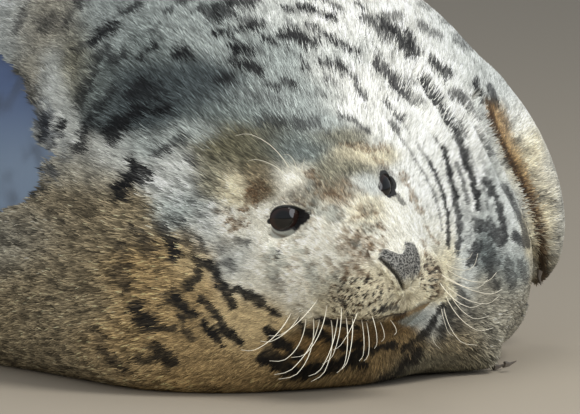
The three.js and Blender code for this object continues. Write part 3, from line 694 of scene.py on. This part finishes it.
# the same, in brown, on the face and flipper
FRECKLES = [
    (0.8, 6, 257, 190, 250, 204, 243, 215, 238, 224), (0.55, 5, 268, 190, 258, 198),
    (0.7, 5, 313, 178, 322, 188), (0.6, 3, 304, 204, 316, 208), (0.4, 3, 222, 212, 234, 216),
    (0.5, 5, 328, 196, 345, 203), (0.4, 4, 362, 210, 376, 214),
    (0.55, 3, 402, 176, 411, 194, 419, 212), (0.5, 1.6, 424, 228, 436, 244),
    (0.6, 2, 421, 242, 424, 246), (0.75, 1.8, 423, 253, 426, 256), (0.5, 3, 341, 247, 344, 254),
    (0.5, 3, 345, 147, 366, 150, 388, 150), (0.4, 3, 376, 160, 386, 168), (0.5, 4, 346, 238, 356, 258),
    (0.45, 4, 360, 232, 372, 250), (0.5, 4, 430, 270, 438, 276), (0.45, 4, 434, 284, 440, 292),
    (0.35, 4, 285, 206, 300, 202), (0.35, 3, 330, 262, 336, 272), (0.5, 3, 352, 262, 366, 272),
]


def spots_at(x, y, marks, ragged):
    out = np.zeros(len(x))
    for strong, wide, *line in marks:
        knots = np.reshape(line, (-1, 2))
        (left, top), (right, low) = knots.min(0) - 2 * wide, knots.max(0) + 2 * wide
        near = np.flatnonzero(in_box(x, y, left, right, top, low))
        d = line_distance(x[near], y[near], line) / wide + ragged[near]
        out[near] = np.maximum(out[near], strong * step(-d, -1.3, -0.7))
    return out


def mix(a, b, w):
    """Blends two colours as the eye sees them, evenly in lightness."""
    a, b = np.maximum(a, 0) ** (1 / 2.2), np.maximum(b, 0) ** (1 / 2.2)
    return (a + (b - a) * w[:, None]) ** 2.2


def layers(colour, *coats):
    """Lays colours over each other in turn, each by its own amount."""
    for tint, amount in coats:
        colour = mix(colour, tint, amount)
    return colour


def all_over(p, tint):
    return np.tile(tint, (len(p), 1))


def leather(q):
    """How far a place is bare skin of the nose."""
    inside = step(pad_inside(q), -0.6, 1.0) * step(q[:, 0], 55, 62)
    return inside * step(q[:, 2], -38, -27)


def past_crease(x, y):
    """How far a place lies to the right of the crease."""
    return x - np.interp(y, CREASE[:, 1], CREASE[:, 0])


def crease_painted_shade(x, y, colour):
    """Painted shade in the hollow between the neck and the flipper: a dark core along the crease and a
    brown fall-off beside it.
    """
    d = line_distance(x, y, CREASE)
    side = past_crease(x, y)
    span = band(y, 96, 116, 278, 292)
    reach = np.interp(y, [100, 150, 200, 280], [24, 20, 12, 9])
    hollow_shade = np.sqrt(step(-side, -reach, -1.0) * step(side, -1.5, 0.5))
    crease_shadow = step(-side, -9.0, -3.0) * step(side, -1.5, 0.5) * step(-d, -10, -5)
    # painted shade: brown beside the crease, darkest along it
    return layers(
        colour,
        (RUST, 0.9 * hollow_shade * span * step(-y, -240, -180)),
        (HOLLOW_SHADE_BROWN, 0.75 * hollow_shade * span * step(y, 140, 190)),
        (SEPIA, 0.9 * crease_shadow * span),
    )


def ovals(x, y, places):
    return np.max([strong * oval(x, y, *place) for *place, strong in places], 0)


# the same as the zones, with a strength: whisker pads, bridge of the nose and cheeks
PADS = [(362, 297, 36, 24, 1.0), (430, 278, 12, 22, 0.8)]
BRIDGE = [(367, 236, 22, 28, 1.0), (342, 192, 22, 14, 0.7), (350, 270, 14, 12, 0.6)]
CHEEKS = [(315, 235, 80, 70, 1.0)]
BACK = unit(np.array([-0.616, 0.0, 0.788]))


def back_shades(p, n):
    """All round: dark back, paler flanks and belly, ragged blotches."""
    height = n @ BACK + 0.25 * (clouds(p, 90, 5) - 0.5)
    big, small = clouds(p, 27, 11), clouds(p * [1, 0.6, 1], 9, 13)
    return layers(
        all_over(p, FAWN),
        (ASH, step(height, -0.5, 0.1)),
        (SLATE, step(height, 0.0, 0.8)),
        (SOOT, 0.85 * step(big, 0.57, 0.64) * step(height, -0.9, 0.2)),
        (SOOT, 0.7 * step(small, 0.6, 0.68) * step(height, -1.1, 0.1)),
        (PALE, 0.4 * step(clouds(p, 60, 23), 0.52, 0.7)),
    )


def front_shades(p, q, x, y):
    """The zones and marks of the front view, with painted warm bounce and shade low on the body,
    painted shade by the flipper and a painted shadow along the floor, then the fine specks of the
    face.
    """
    total, amount = np.zeros((len(p), 3)), np.full(len(p), 1e-12)
    wobble = 12 * (clouds(p, 24, 31) - 0.5)
    for *place, tint in ZONES:
        w = oval(x + wobble, y - wobble, *place)
        total += w[:, None] * tint
        amount += w
    colour = total / amount[:, None]
    ragged = 1.2 * (clouds(p, 7, 41) - 0.5) + 1.3 * (noise(p, 2.4, 43) - 0.5)
    colour = colour * (1 + 0.45 * (clouds(p, 18, 51) - 0.5) + 0.5 * (noise(p, 4, 53) - 0.5))[:, None]
    strands = step(noise(p, 2.0, 68), 0.36, 0.6)
    colour = mix(colour, UMBER, (0.45 + 0.55 * strands) * spots_at(x, y, FRECKLES, 2.0 * ragged))
    broken = 1 - 0.2 * step(noise(p, 1.9, 45), 0.5, 0.7)
    # black blotches and stripes, with one painted shadow along the floor
    colour = mix(colour, SOOT, broken * spots_at(x, y, SPOTS, ragged))
    # painted shade in the hollow between the neck and the flipper
    colour = crease_painted_shade(x, y, colour)
    # fine specks on the whisker pads, mottling on the bridge and cheeks
    pads = step(q[:, 0], 28, 45) * ovals(x, y, PADS)
    bridge = ovals(x, y, BRIDGE)
    cheeks = step(q[:, 0], -25, 10) * ovals(x, y, CHEEKS)
    blobs = (0.2 + 0.5 * strands) * step(clouds(p, 6.5, 67), 0.48, 0.58)
    return layers(
        colour,
        (UMBER, 0.12 * step(clouds(p, 9, 64), 0.5, 0.62) * step(pads, 0.15, 0.6)),
        (SEPIA, 0.85 * step(noise(p, 1.9, 61), 0.62, 0.68) * step(pads, 0.12, 0.5)),
        (SOOT, 0.8 * step(noise(p, 1.4, 65), 0.64, 0.7) * step(pads, 0.25, 0.7)),
        (UMBER, blobs * step(bridge, 0.2, 0.65)),
        (SLATE, 0.4 * step(clouds(p, 11, 63), 0.54, 0.68) * step(cheeks, 0.3, 0.7)),
        (UMBER, 0.28 * step(noise(p, 2.2, 66), 0.62, 0.75) * step(cheeks, 0.2, 0.7)),
    )


def lid_shades(q, s, colour):
    """The pale lower lid with its folds, the black rim and the dark inner corner."""
    d, c, a, b = lid_distance(q, s)
    r = from_eye(q, s)
    near = step(-r, -25.5, -24.0) * (c > 0.2)
    out = d - lid_rim(a, b, s)
    if s < 0:
        lower = under_lid(a, b, 5.0) * near
        below = step(-b, 5.0, 8.0) * band(a, -5.0, -1.0, 3.0, 6.0) * band(out, 5.0, 5.8, 8.0, 11.0)
        colour = layers(
            colour,
            (LID_PALE, 0.95 * lower * band(out, -0.3, 0.3, 4.4, 5.2)),
            (LID_LINE, 0.75 * lower * (bell(out - 1.7, 0.45) + bell(out - 4.9, 0.6))),
            (BAG, 0.7 * below * near),
        )
    return layers(
        colour,
        (LID_GREY, 0.6 * step(b, 0.0, 3.0) * bell(out - 1.6, 0.7) * near),
        (RIM_BLACK, step(-out, -0.35, 0.35) * near),
        (CORNER, 0.95 * corner_mask(q, s) * (r < 34)),
    )


def face_lines(q, colour):
    """Dark lines of the mouth (partly painted shadow under the whisker pad), lids, ears and nostrils,
    and the bare nose.
    """
    up, shows = mouth_distance(q)
    colour = layers(
        colour,
        # the lip's own dark line, darkened further as painted shadow under the overhanging whisker pad
        (LIP_LINE_AND_SHADOW, 0.95 * bell(up, np.where(q[:, 1] < -8, 1.5, 1.0)) * shows),
        (RUST, 0.6 * bell(up + 3.0, 1.8) * shows * step(q[:, 1], -16, -4)),
    )
    for s in SIDES:
        colour = lid_shades(q, s, colour)
        ear = np.linalg.norm(q - EAR * [1, s, 1], axis=1)
        colour = mix(colour, EAR_DARK, 0.9 * step(-ear, -4.0, -1.8))
    colour = mix(colour, all_over(q, NOSE_GREY), leather(q))
    return mix(colour, SLIT_DARK, np.where(q[:, 1] > 0, 0.35, 1.0) * bell(slit_distance(q), 0.95))


# the edge of the wet patch: down the view, and how far across it reaches there; and its rear end
WET_DOWN, WET_ACROSS = [50, 66, 100, 133, 157, 187, 202, 215], [0, 12, 36, 44, 53, 50, 34, 0]
WET_END = 150.0


def wet_patch(p, n, x, y, facing, colour):
    edge = np.interp(y, WET_DOWN, WET_ACROSS) + 22 * (noise(p, 10, 81) - 0.5)
    edge = edge + 10 * (noise(p, 3, 83) - 0.5)
    ending = WET_END - 0.012 * (y - 130) ** 2 + 40 * (noise(p, 24, 89) - 0.5)
    ending = ending + 12 * (noise(p, 7, 90) - 0.5)
    wet = step(edge - x, -0.5, 1.5) * (y > 52) * (y < 213)
    wet = wet * step(n @ -LOOK, -0.2, 0.0) * (p[:, 1] < ending)
    # painted sky reflection on the wet coat: blue above, paler lower down, mottled darker
    painted_sky_reflection = mix(all_over(p, REFLECTED_SKY_BLUE), REFLECTED_SKY_PALE, step(y, 60, 175))
    painted_sky_reflection = mix(painted_sky_reflection, WET_DARK, 0.45 * step(clouds(p, 30, 85), 0.5, 0.7))
    soaked = step(edge + 22 - x, 0, 14) * (y > 100) * (y < 200) * facing * (1 - wet)
    colour = mix(colour, SOAKED, 0.6 * soaked * step(noise(p, 4.0, 87), 0.35, 0.6))
    return np.where(wet[:, None] > 0.5, painted_sky_reflection, colour), wet


def shades(p, n):
    """Colour of the coat, and how wet and smooth it is."""
    q = in_head(p)
    x, y = on_view(p)
    torn = clouds(p, 70, 55) - 0.5
    facing = step(n @ -LOOK + 0.5 * torn, -0.3, 0.1) * step(y + 60 * torn, -75, -15)
    facing = facing * step(-((p - EYE_LINE) @ LOOK) + 260 * torn, -430, -230)
    colour = mix(back_shades(p, n), front_shades(p, q, x, y), facing)
    colour, wet = wet_patch(p, n, x, y, facing, face_lines(q, colour))
    return np.clip(colour, 0.003, 1), wet


# ---------------------------------------------------------------- looks
STREAKS_ALONG, STREAKS_ACROSS = 160.0, 260.0
NOSE_GRAINS = 820.0
# how far an eye's surface lies along its look, and the colour there: from the rim to the pupil
EYE_RINGS = [
    (0.60, (0.003, 0.003, 0.003)), (0.72, (0.010, 0.005, 0.004)),
    (0.90, (0.018, 0.009, 0.007)), (0.95, (0.002, 0.002, 0.002)),
]


def new_look(name):
    """A new material, a function that adds a node, and one that fills the shader's inputs."""
    look = bpy.data.materials.new(name)
    look.use_nodes = True
    tree = look.node_tree

    def fill(node, inputs):
        for key, value in inputs.items():
            if isinstance(value, bpy.types.NodeSocket):
                tree.links.new(value, node.inputs[key])
            else:
                node.inputs[key].default_value = value

    def add(kind, inputs, **settings):
        node = tree.nodes.new("ShaderNode" + kind)
        for key, value in settings.items():
            setattr(node, key, value)
        fill(node, inputs)
        return node

    return look, add, lambda inputs: fill(tree.nodes["Principled BSDF"], inputs)


def between(low, high, to_low, to_high):
    return {"From Min": low, "From Max": high, "To Min": to_low, "To Max": to_high}


def skin_look():
    """Streaks that run along the coat: noise stretched away from the nose."""
    look, add, finish = new_look("coat_skin")
    place = add("TexCoord", {}).outputs["Object"]
    origin = (FLOW_FROM - SHOULDER) * 0.001
    apart = add("VectorMath", {0: place, 1: origin}, operation="SUBTRACT").outputs[0]
    way = add("VectorMath", {0: apart}, operation="NORMALIZE").outputs[0]
    far = add("VectorMath", {0: apart}, operation="LENGTH").outputs["Value"]
    along = add("Math", {0: far, 1: STREAKS_ALONG}, operation="MULTIPLY").outputs[0]
    streaks = {"Vector": way, "W": along, "Scale": STREAKS_ACROSS, "Detail": 2.0}
    hair = add("TexNoise", streaks, noise_dimensions="4D").outputs["Fac"]
    tone = add("MapRange", {"Value": hair, **between(0.3, 0.7, 0.45, 1.1)}).outputs[0]
    wet = add("Attribute", {}, attribute_name="wet").outputs["Fac"]
    calm = add("Mix", {"Factor": wet, 2: tone, 3: 1.0}, data_type="FLOAT").outputs[0]
    nose = add("Attribute", {}, attribute_name="leather").outputs["Fac"]
    grain = add("TexNoise", {"Vector": place, "Scale": NOSE_GRAINS, "Detail": 3.0}).outputs["Fac"]
    dots = add("MapRange", {"Value": grain, **between(0.42, 0.6, 0.06, 1.9)}).outputs[0]
    both = add("Mix", {"Factor": nose, 2: calm, 3: dots}, data_type="FLOAT").outputs[0]
    shade = add("Attribute", {}, attribute_name="shade").outputs["Color"]
    colour = add("VectorMath", {0: shade, "Scale": both}, operation="SCALE").outputs[0]
    rough = add("MapRange", {"Value": wet, "To Min": 0.62, "To Max": 0.3}).outputs[0]
    bump = add("Bump", {"Height": hair, "Strength": 0.5, "Distance": 0.0006}).outputs[0]
    finish({"Base Color": colour, "Roughness": rough, "Normal": bump})
    return look


def tuft_look():
    look, add, finish = new_look("coat_hair")
    shade = add("Attribute", {}, attribute_name="shade").outputs["Color"]
    finish({"Base Color": shade, "Roughness": 0.55, "Specular IOR Level": 0.35})
    return look


def plain(name, colour, rough):
    look, _, finish = new_look(name)
    finish({"Base Color": (*colour, 1), "Roughness": rough})
    return look


def eye_look(side, s):
    """Rings of colour round the way the eye looks."""
    look, add, finish = new_look(f"eye_{side}")
    place = add("TexCoord", {}).outputs["Object"]
    centre = (EYES[s] - SHOULDER) * 0.001
    apart = add("VectorMath", {0: place, 1: centre}, operation="SUBTRACT").outputs[0]
    gaze = eye_axes(s)[0] @ HEAD * 1000 / EYE_RADIUS
    ahead = add("VectorMath", {0: apart, 1: gaze}, operation="DOT_PRODUCT").outputs["Value"]
    ramp = add("ValToRGB", {0: ahead})
    stops = ramp.color_ramp.elements
    for stop, (at, colour) in ((stops[0], EYE_RINGS[0]), (stops[1], EYE_RINGS[-1])):
        stop.position, stop.color = at, (*colour, 1)
    for at, colour in EYE_RINGS[1:-1]:
        stops.new(at).color = (*colour, 1)
    finish({"Base Color": ramp.outputs[0], "Roughness": 0.06, "Specular IOR Level": 0.6})
    return look


# ---------------------------------------------------------------- coat
def colours_on(ob, shade, **more):
    layer = ob.data.color_attributes.new("shade", "FLOAT_COLOR", "POINT")
    layer.data.foreach_set("color", np.concatenate([shade, np.ones((len(shade), 1))], 1).ravel())
    for name, values in more.items():
        layer = ob.data.attributes.new(name, "FLOAT", "POINT")
        layer.data.foreach_set("value", values)


def lie(p, n):
    """The way the coat lies: along the skin, away from the nose."""
    g = p - FLOW_FROM
    return unit(g - (g * n).sum(1, keepdims=True) * n)


def locks_gap_shade(p):
    """Painted shade in the gaps between clumped locks."""
    r = p - FLOW_FROM
    around = np.arctan2(r[:, 0], r[:, 2] + 60.0) * 170.0
    flat = np.stack([around / 2.0, np.linalg.norm(r, axis=1) / 6.5, 0 * around], 1)
    return step(-noise(flat, 1.0, 95), -0.52, -0.34)


def locks(p):
    """How far the coat lies in damp locks: low on the right flank and under the left shoulder."""
    x, y = on_view(p)
    flank = step(-x, -300, -200) * step(y, 130, 220)
    fringe = step(x, 435, 480) * step(y, 270, 310)
    return np.maximum(flank, fringe) * (1 - face_weight(p))


def unwrap(p):
    """The skin's own map: turn round the line of the body, and distance along it."""
    across = p[:, 0] - np.interp(p[:, 1], [-200, 0, 200, 500, 900], [-20, 0, 0, 0, 0])
    turn = np.arctan2(across, p[:, 2] - 110.0) / (2 * np.pi)
    return np.stack([turn + 0.5, (p[:, 1] + 320) / 1250], 1)


def hairless(p):
    """Where no tuft stands: the bare nose, the lids, the mouth and what rests on the floor."""
    q = in_head(p)
    bare = (pad_inside(q) > 0.2) & (q[:, 0] > 55) & (q[:, 2] > -34)
    for s in SIDES:
        d, c, a, b = lid_distance(q, s)
        r = from_eye(q, s)
        fold = (s < 0) * 5.2 * under_lid(a, b, 4.5)
        reach = np.where(fold > 0.5, 27.0, 24.5)
        bare |= (r < reach) & (c > 0.1) & (d < lid_rim(a, b, s) + 0.2 + fold)
        bare |= (r < 34) & (corner_mask(q, s) > 0.4)
    up, shows = mouth_distance(q)
    return bare | ((np.abs(up) < 1.6) & (shows > 0.5)) | (p[:, 2] < 1.2)


# tufts to a square millimetre: everywhere, more where they are seen, fewer in locks, more on the face
DENSITY, SEEN_MORE, LOCKS_LESS, FACE_MORE = 0.26, 0.8, 0.35, 0.55


def roots(v, t, n):
    """Where the tufts stand, most of them where the front view shows the coat."""
    a, b, c = v[t[:, 0]], v[t[:, 1]], v[t[:, 2]]
    cross = np.cross(b - a, c - a)
    mid = (a + b + c) / 3
    x, y = on_view(mid)
    seen = in_box(x, y, -15, 595, -15, 430) & (unit(cross) @ LOOK < 0.15)
    near = step(-((mid - EYE_LINE) @ LOOK), -330, -200)
    head = face_weight(mid)
    per_mm = DENSITY + (SEEN_MORE - LOCKS_LESS * locks(mid)) * seen * near + FACE_MORE * head * seen
    per_mm = np.where(hairless(mid), 0.0, per_mm)
    mass = np.cumsum(np.linalg.norm(cross, axis=1) / 2 * per_mm)
    count = int(mass[-1])
    at = (np.arange(count) + rng.random(count)) * mass[-1] / count
    k = np.minimum(np.searchsorted(mass, at), len(t) - 1)
    r1, r2 = np.sqrt(rng.random(count)), rng.random(count)
    w = np.stack([1 - r1, r1 * (1 - r2), r1 * r2], 1)[:, :, None]
    return (v[t[k]] * w).sum(1), unit((n[t[k]] * w).sum(1)), head[k], seen[k]


def on_flipper(p):
    """1 on the far fore flipper and the fold beside it, where the coat lies short and smooth."""
    x, y = on_view(p)
    return step(past_crease(x, y), -24, -12) * band(y, 70, 95, 300, 310)


def by_eyes(p):
    """1 next to the eyes, 0 further off."""
    q = in_head(p)
    return np.maximum(*(step(-from_eye(q, s), -40, -26) for s in SIDES))


# a tuft has a left and a right root, a ridge and a tip
TUFT_FACES = np.array([[0, 1, 2], [0, 2, 3], [2, 1, 3]])
TUFT_PATCH = np.array([[-1, -1], [1, -1], [0, 0.2], [0, 1]])
LEAN, TILT = np.array([0, 0, 0.3, 0.6]), np.array([-0.45, 0.45, 0.0, 0.0])
# brightness at a tuft's four corners: painted shade darkens the roots, the tip is lighter; deeper
# still in damp locks
DRY_ROOT_SHADE, DAMP_ROOT_SHADE = np.array([0.45, 0.45, 0.95, 1.25]), np.array([0.12, 0.12, 0.85, 1.7])
HALF_PATCH = 0.0015
PIECE_TUFTS = 64000
# a tuft's length and width in mm, and how much less they are on the face and on the muzzle
TUFT_LONG, TUFT_WIDE = (9.0, 4.6, 1.4), (1.12, 0.36, 0.1)
STRAY_SHARE, STRAY_TIMES = 0.14, 3.0


def tuft_size(size, head, muzzle):
    whole, on_face, on_muzzle = size
    return (whole - on_face * head - on_muzzle * muzzle) * (0.8 + 0.4 * rng.random(len(head)))


def tuft_corners(p, m, g, side, head, seen):
    muzzle = step(in_head(p)[:, 0], 20, 60)
    smooth, damp = on_flipper(p), locks(p)
    long = tuft_size(TUFT_LONG, head, muzzle) * (1 - 0.45 * by_eyes(p)) * (1 - 0.45 * smooth)
    wide = tuft_size(TUFT_WIDE, head, muzzle) * np.where(seen, 1.0, 1.8) * (1 + 0.8 * damp)
    lift = np.radians(9.0 + 5.0 * rng.random(len(p)) + 6.0 * damp) * (1 - 0.5 * smooth)
    up = np.sin(lift) * long
    base = p - 0.15 * m
    left = base - side * (wide / 2)[:, None]
    right = base + side * (wide / 2)[:, None]
    ridge = p + g * (0.42 * long)[:, None] + m * (0.55 * up + 0.16 * wide)[:, None]
    tip = p + g * (np.cos(lift) * long)[:, None] + m * (0.8 * up)[:, None]
    corners = np.stack([left, right, ridge, tip], 1)
    # a tuft that would hang over the opening of an eye is cut short
    hangs = by_lids(tip, 30, 0.2, 1.5)
    corners[hangs] = p[hangs, None, :] + 0.3 * (corners[hangs] - p[hangs, None, :])
    corners[:, :, 2] = np.maximum(corners[:, :, 2], 0.15)
    return corners


def tuft_tints(p, shade, head):
    light, damp = shade.mean(1), locks(p)
    vary = 0.26 + 0.3 * step(-light, -0.42, -0.12) - 0.06 * head
    bright = np.exp(vary * rng.standard_normal(len(p)).clip(-2.2, 2.2))
    # painted shade in the gaps between locks, deeper where the coat is damp
    bright *= 1.12 * (1 - (0.28 + 0.34 * damp) * locks_gap_shade(p))
    # painted shade at each tuft's roots, lighter towards its tip
    tone = (DRY_ROOT_SHADE + (DAMP_ROOT_SHADE - DRY_ROOT_SHADE) * damp[:, None]) * bright[:, None]
    return np.clip(shade[:, None, :] * tone[:, :, None], 0.002, 0.95)


def coat_piece(name, corners, tint, spot, normals, look):
    """One object of tufts, each mapped to a small patch at its root's place."""
    tri = (np.arange(len(corners))[:, None, None] * 4 + TUFT_FACES).reshape(-1, 3)
    ob = make_mesh(name, corners.reshape(-1, 3), tri)
    colours_on(ob, tint.reshape(-1, 3))
    low, high = spot.min(0), spot.max(0)
    spot = (spot - low) / (high - low) * (1 - 4 * HALF_PATCH) + HALF_PATCH
    uv = (spot[:, None, :] + TUFT_PATCH * HALF_PATCH).reshape(-1, 2)
    layer = ob.data.uv_layers.new(name="OFBake")
    layer.data.foreach_set("uv", uv[tri.ravel()].ravel())
    ob.data.normals_split_custom_set_from_vertices(normals.reshape(-1, 3))
    ob.data.materials.append(look)
    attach(ob, "root")


def coat(v, t, n, look):
    p, m, head, seen = roots(v, t, n)
    stray = np.where(rng.random(len(p)) < STRAY_SHARE, STRAY_TIMES, 1.0)
    slid = (5.0 - 4.2 * head) * stray * (rng.random(len(p)) - 0.5)
    shade, wet = shades(p + lie(p, m) * slid[:, None], m)
    p, m, head, seen, shade = (x[wet < 0.5] for x in (p, m, head, seen, shade))
    g = lie(p, m)
    sway = 0.16 * rng.standard_normal(len(p)) + 0.5 * (clouds(p, 25, 91) - 0.5)
    g = unit(g + unit(np.cross(g, m)) * sway[:, None])
    side = unit(np.cross(g, m))
    corners = tuft_corners(p, m, g, side, head, seen)
    tint = tuft_tints(p, shade, head)
    spot = unwrap(p)
    # pieces by place, so that each stays light
    parts = np.array_split(np.argsort(p[:, 1]), int(np.ceil(len(p) / PIECE_TUFTS)))
    for k, part in enumerate(parts):
        facing = unit(m[part, None] + 0.35 * g[part, None] * LEAN[:, None])
        normals = unit(facing + side[part, None] * TILT[:, None])
        coat_piece(f"coat_{k + 1}", corners[part], tint[part], spot[part], normals, look)


# ---------------------------------------------------------------- build
v, t = shape_skin()
n = vertex_normals(v, t)
shade, wet = shades(v, n)
ob = make_mesh("seal_skin", v, t)
colours_on(ob, shade, wet=wet, leather=leather(in_head(v)))
ob.data.materials.append(skin_look())
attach(ob, "root")
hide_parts(*FLESH)
coat(v, t, n, tuft_look())

for s, side in zip(SIDES, ("left", "right")):
    eye = make_mesh(f"eye_ball_{side}", *ball(EYES[s], EYE_RADIUS))
    eye.data.materials.append(eye_look(side, s))
    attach(eye, "root")
    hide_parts(f"eye_{side}")

horn = plain("claw_horn", (0.085, 0.07, 0.055), 0.45)
for name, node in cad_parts.items():
    if "claw" in name:
        node.data.materials.clear()
        node.data.materials.append(horn)
        node.data.polygons.foreach_set("use_smooth", np.ones(len(node.data.polygons), bool))

# ---------------------------------------------------------------- whiskers
TREE = BVHTree.FromPolygons(v.tolist(), t.tolist())
AIM = EYE_LINE - 34.0 * RIGHT - 3.0 * UP
CAMERA_AT = AIM - LOOK * CAMERA_BACK
RAY_START = 7000
RINGS, TUBE_SIDES, THICKER = 12, 6, 1.35

# root across, down, tip across, down, how far the tip stands towards the viewer in mm, sag, thickness
WHISKERS = [
    (292, 312, 244, 355, 30, 6, 0.55), (300, 316, 262, 345, 34, 4, 0.55),
    (306, 318, 275, 366, 30, 8, 0.6), (313, 318, 286, 384, 34, 10, 0.65),
    (320, 317, 280, 378, 40, 8, 0.65), (330, 318, 317, 383, 34, 8, 0.65),
    (337, 317, 312, 380, 38, 6, 0.6), (345, 317, 340, 375, 30, 5, 0.6),
    (352, 318, 342, 373, 34, 4, 0.55), (361, 320, 361, 363, 26, 3, 0.5),
    (366, 322, 366, 363, 24, 3, 0.5), (357, 312, 334, 352, 36, 3, 0.45),
    (326, 304, 296, 362, 44, 8, 0.55), (318, 298, 270, 340, 42, 5, 0.5),
    (340, 306, 326, 366, 44, 6, 0.5), (380, 322, 383, 343, 16, 2, 0.4),
    (390, 320, 396, 336, 14, 2, 0.4), (372, 316, 376, 350, 22, 2, 0.4),
]
FAR_WHISKERS = [
    (445, 262, 480, 261, 8, -9, 0.5), (447, 268, 497, 279, 8, -8, 0.55),
    (447, 276, 502, 294, 6, -6, 0.6), (446, 284, 498, 303, 4, -8, 0.55),
    (447, 280, 484, 322, 4, -10, 0.6), (445, 290, 489, 334, 2, -10, 0.6),
    (444, 294, 471, 349, 0, -10, 0.6), (441, 298, 452, 337, -2, -4, 0.5),
    (437, 300, 437, 349, -4, -6, 0.5), (433, 302, 423, 338, -4, -6, 0.5),
    (441, 272, 487, 286, 12, -8, 0.5), (440, 280, 480, 309, 10, -8, 0.5),
    (450, 255, 474, 256, 6, -4, 0.35), (446, 250, 468, 246, 6, -3, 0.3),
]
BROW_HAIRS = [
    (290, 168, 238, 130, 20, -6, 0.35), (284, 172, 248, 158, 18, -2, 0.3),
    (297, 170, 285, 152, 16, -2, 0.3), (345, 150, 343, 138, 12, 0, 0.3),
    (364, 158, 371, 147, 12, 0, 0.3), (301, 172, 305, 156, 14, 0, 0.25),
]


def at_eyes(x, y, dots):
    """The point level with the eyes that shows at this place of the front view."""
    return EYE_LINE + (x - MIDDLE_X) / dots * RIGHT + (MIDDLE_Y - y) / dots * UP


def place_on_view(x, y):
    """The skin point that shows at this place of the front view, and which way the skin faces."""
    way = unit(at_eyes(x, y, DOTS) - CAMERA_AT)
    at, out, *_ = TREE.ray_cast(Vector(CAMERA_AT + way * RAY_START), Vector(way))
    return np.array(at), np.array(out)


def tube(spine, thick):
    """A closed round hair that thins towards its tip."""
    count, sides = len(spine), TUBE_SIDES
    way = unit(np.gradient(spine, axis=0))
    a = unit(np.cross(way, np.array([0.3, 0.2, 1.0])))
    b = np.cross(way, a)
    turn = np.arange(sides)[None, :, None] * 2 * np.pi / sides
    radius = THICKER * thick * np.linspace(1.0, 0.3, count)
    ring = a[:, None, :] * np.cos(turn) + b[:, None, :] * np.sin(turn)
    v = (spine[:, None, :] + ring * radius[:, None, None]).reshape(-1, 3)
    faces = []
    for k in range(count - 1):
        for s in range(sides):
            p, q = k * sides + s, k * sides + (s + 1) % sides
            faces += [[p, q, q + sides], [p, q + sides, p + sides]]
    last = (count - 1) * sides
    for s in range(sides):
        after = (s + 1) % sides
        faces += [[after, s, count * sides], [last + s, last + after, count * sides + 1]]
    return np.concatenate([v, spine[:1], spine[-1:]]), np.array(faces)


def whiskers(rows, name, look):
    parts = []
    for x0, y0, x1, y1, stand, sag, thick in rows:
        root, out = place_on_view(x0, y0)
        ahead = (root - EYE_LINE) @ LOOK - stand
        tip = at_eyes(x1, y1, DOTS * CAMERA_BACK / (CAMERA_BACK + ahead)) + ahead * LOOK
        across = unit(np.cross(unit(tip - root), LOOK))
        s = np.linspace(0, 1, RINGS)[:, None]
        bend = sag / DOTS * 4 * (s * (1 - s))
        hook = sag / DOTS * 0.9 * np.clip((s - 0.8) / 0.2, 0, 1) ** 2
        spine = root - 1.5 * out + (tip - root) * s + across * (bend - hook)
        parts.append(tube(spine + out * (8 * s * (1 - s) * 1.2), thick * 0.5))
    ob = make_mesh(name, *joined(parts))
    ob.data.materials.append(look)
    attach(ob, "root")


hair = plain("whisker", paint(246, 240, 220), 0.35)
whiskers(WHISKERS, "whiskers_right", hair)
whiskers(FAR_WHISKERS, "whiskers_left", hair)
whiskers(BROW_HAIRS, "brow_hairs", hair)

# ---------------------------------------------------------------- stage
bpy.ops.mesh.primitive_plane_add(size=40)
floor = bpy.context.object
floor.name = "floor"
floor.data.materials.append(plain("floor", paint(158, 148, 132), 0.9))

SENSOR = 36.0
lens = bpy.data.cameras.new("camera")
lens.sensor_width = SENSOR
lens.lens = SENSOR * CAMERA_BACK / (VIEW_WIDTH / DOTS)
lens.clip_start = 0.5
camera = bpy.data.objects.new("camera", lens)
turn = Matrix((RIGHT, UP, -LOOK)).transposed()
camera.matrix_world = Matrix.Translation(Vector((CAMERA_AT - SHOULDER) * 0.001)) @ turn.to_4x4()
bpy.context.scene.collection.objects.link(camera)
bpy.context.scene.camera = camera


def area(name, place, aim_at, size, power, colour, mirrored=True):
    lamp = bpy.data.lights.new(name, "AREA")
    lamp.shape = "DISK"
    lamp.size = size
    lamp.energy = power
    lamp.color = colour
    o = bpy.data.objects.new(name, lamp)
    o.location = place
    o.visible_glossy = mirrored
    o.rotation_euler = (Vector(aim_at) - Vector(place)).to_track_quat("-Z", "Y").to_euler()
    bpy.context.scene.collection.objects.link(o)


area("key", (0.6, -1.8, 1.9), (0, -0.25, 0.1), 1.0, 36, (1, 0.985, 0.955))
area("side", (1.0, -2.3, 0.8), (-0.05, -0.4, 0.12), 1.5, 15, (0.92, 0.96, 1))
area("top", (0.5, 0.6, 2.2), (0, -0.1, 0.1), 1.0, 6, (1, 0.99, 0.98))
area("fill", (-2.1, -1.9, 0.9), (0, -0.2, 0.1), 1.6, 34, (1, 0.98, 0.95), False)
world = bpy.data.worlds.new("world")
world.use_nodes = True
sky = world.node_tree.nodes["Background"]
sky.inputs[0].default_value = (0.78, 0.84, 0.92, 1)
sky.inputs[1].default_value = 0.45
bpy.context.scene.world = world
bpy.context.scene.view_settings.view_transform = "Standard"
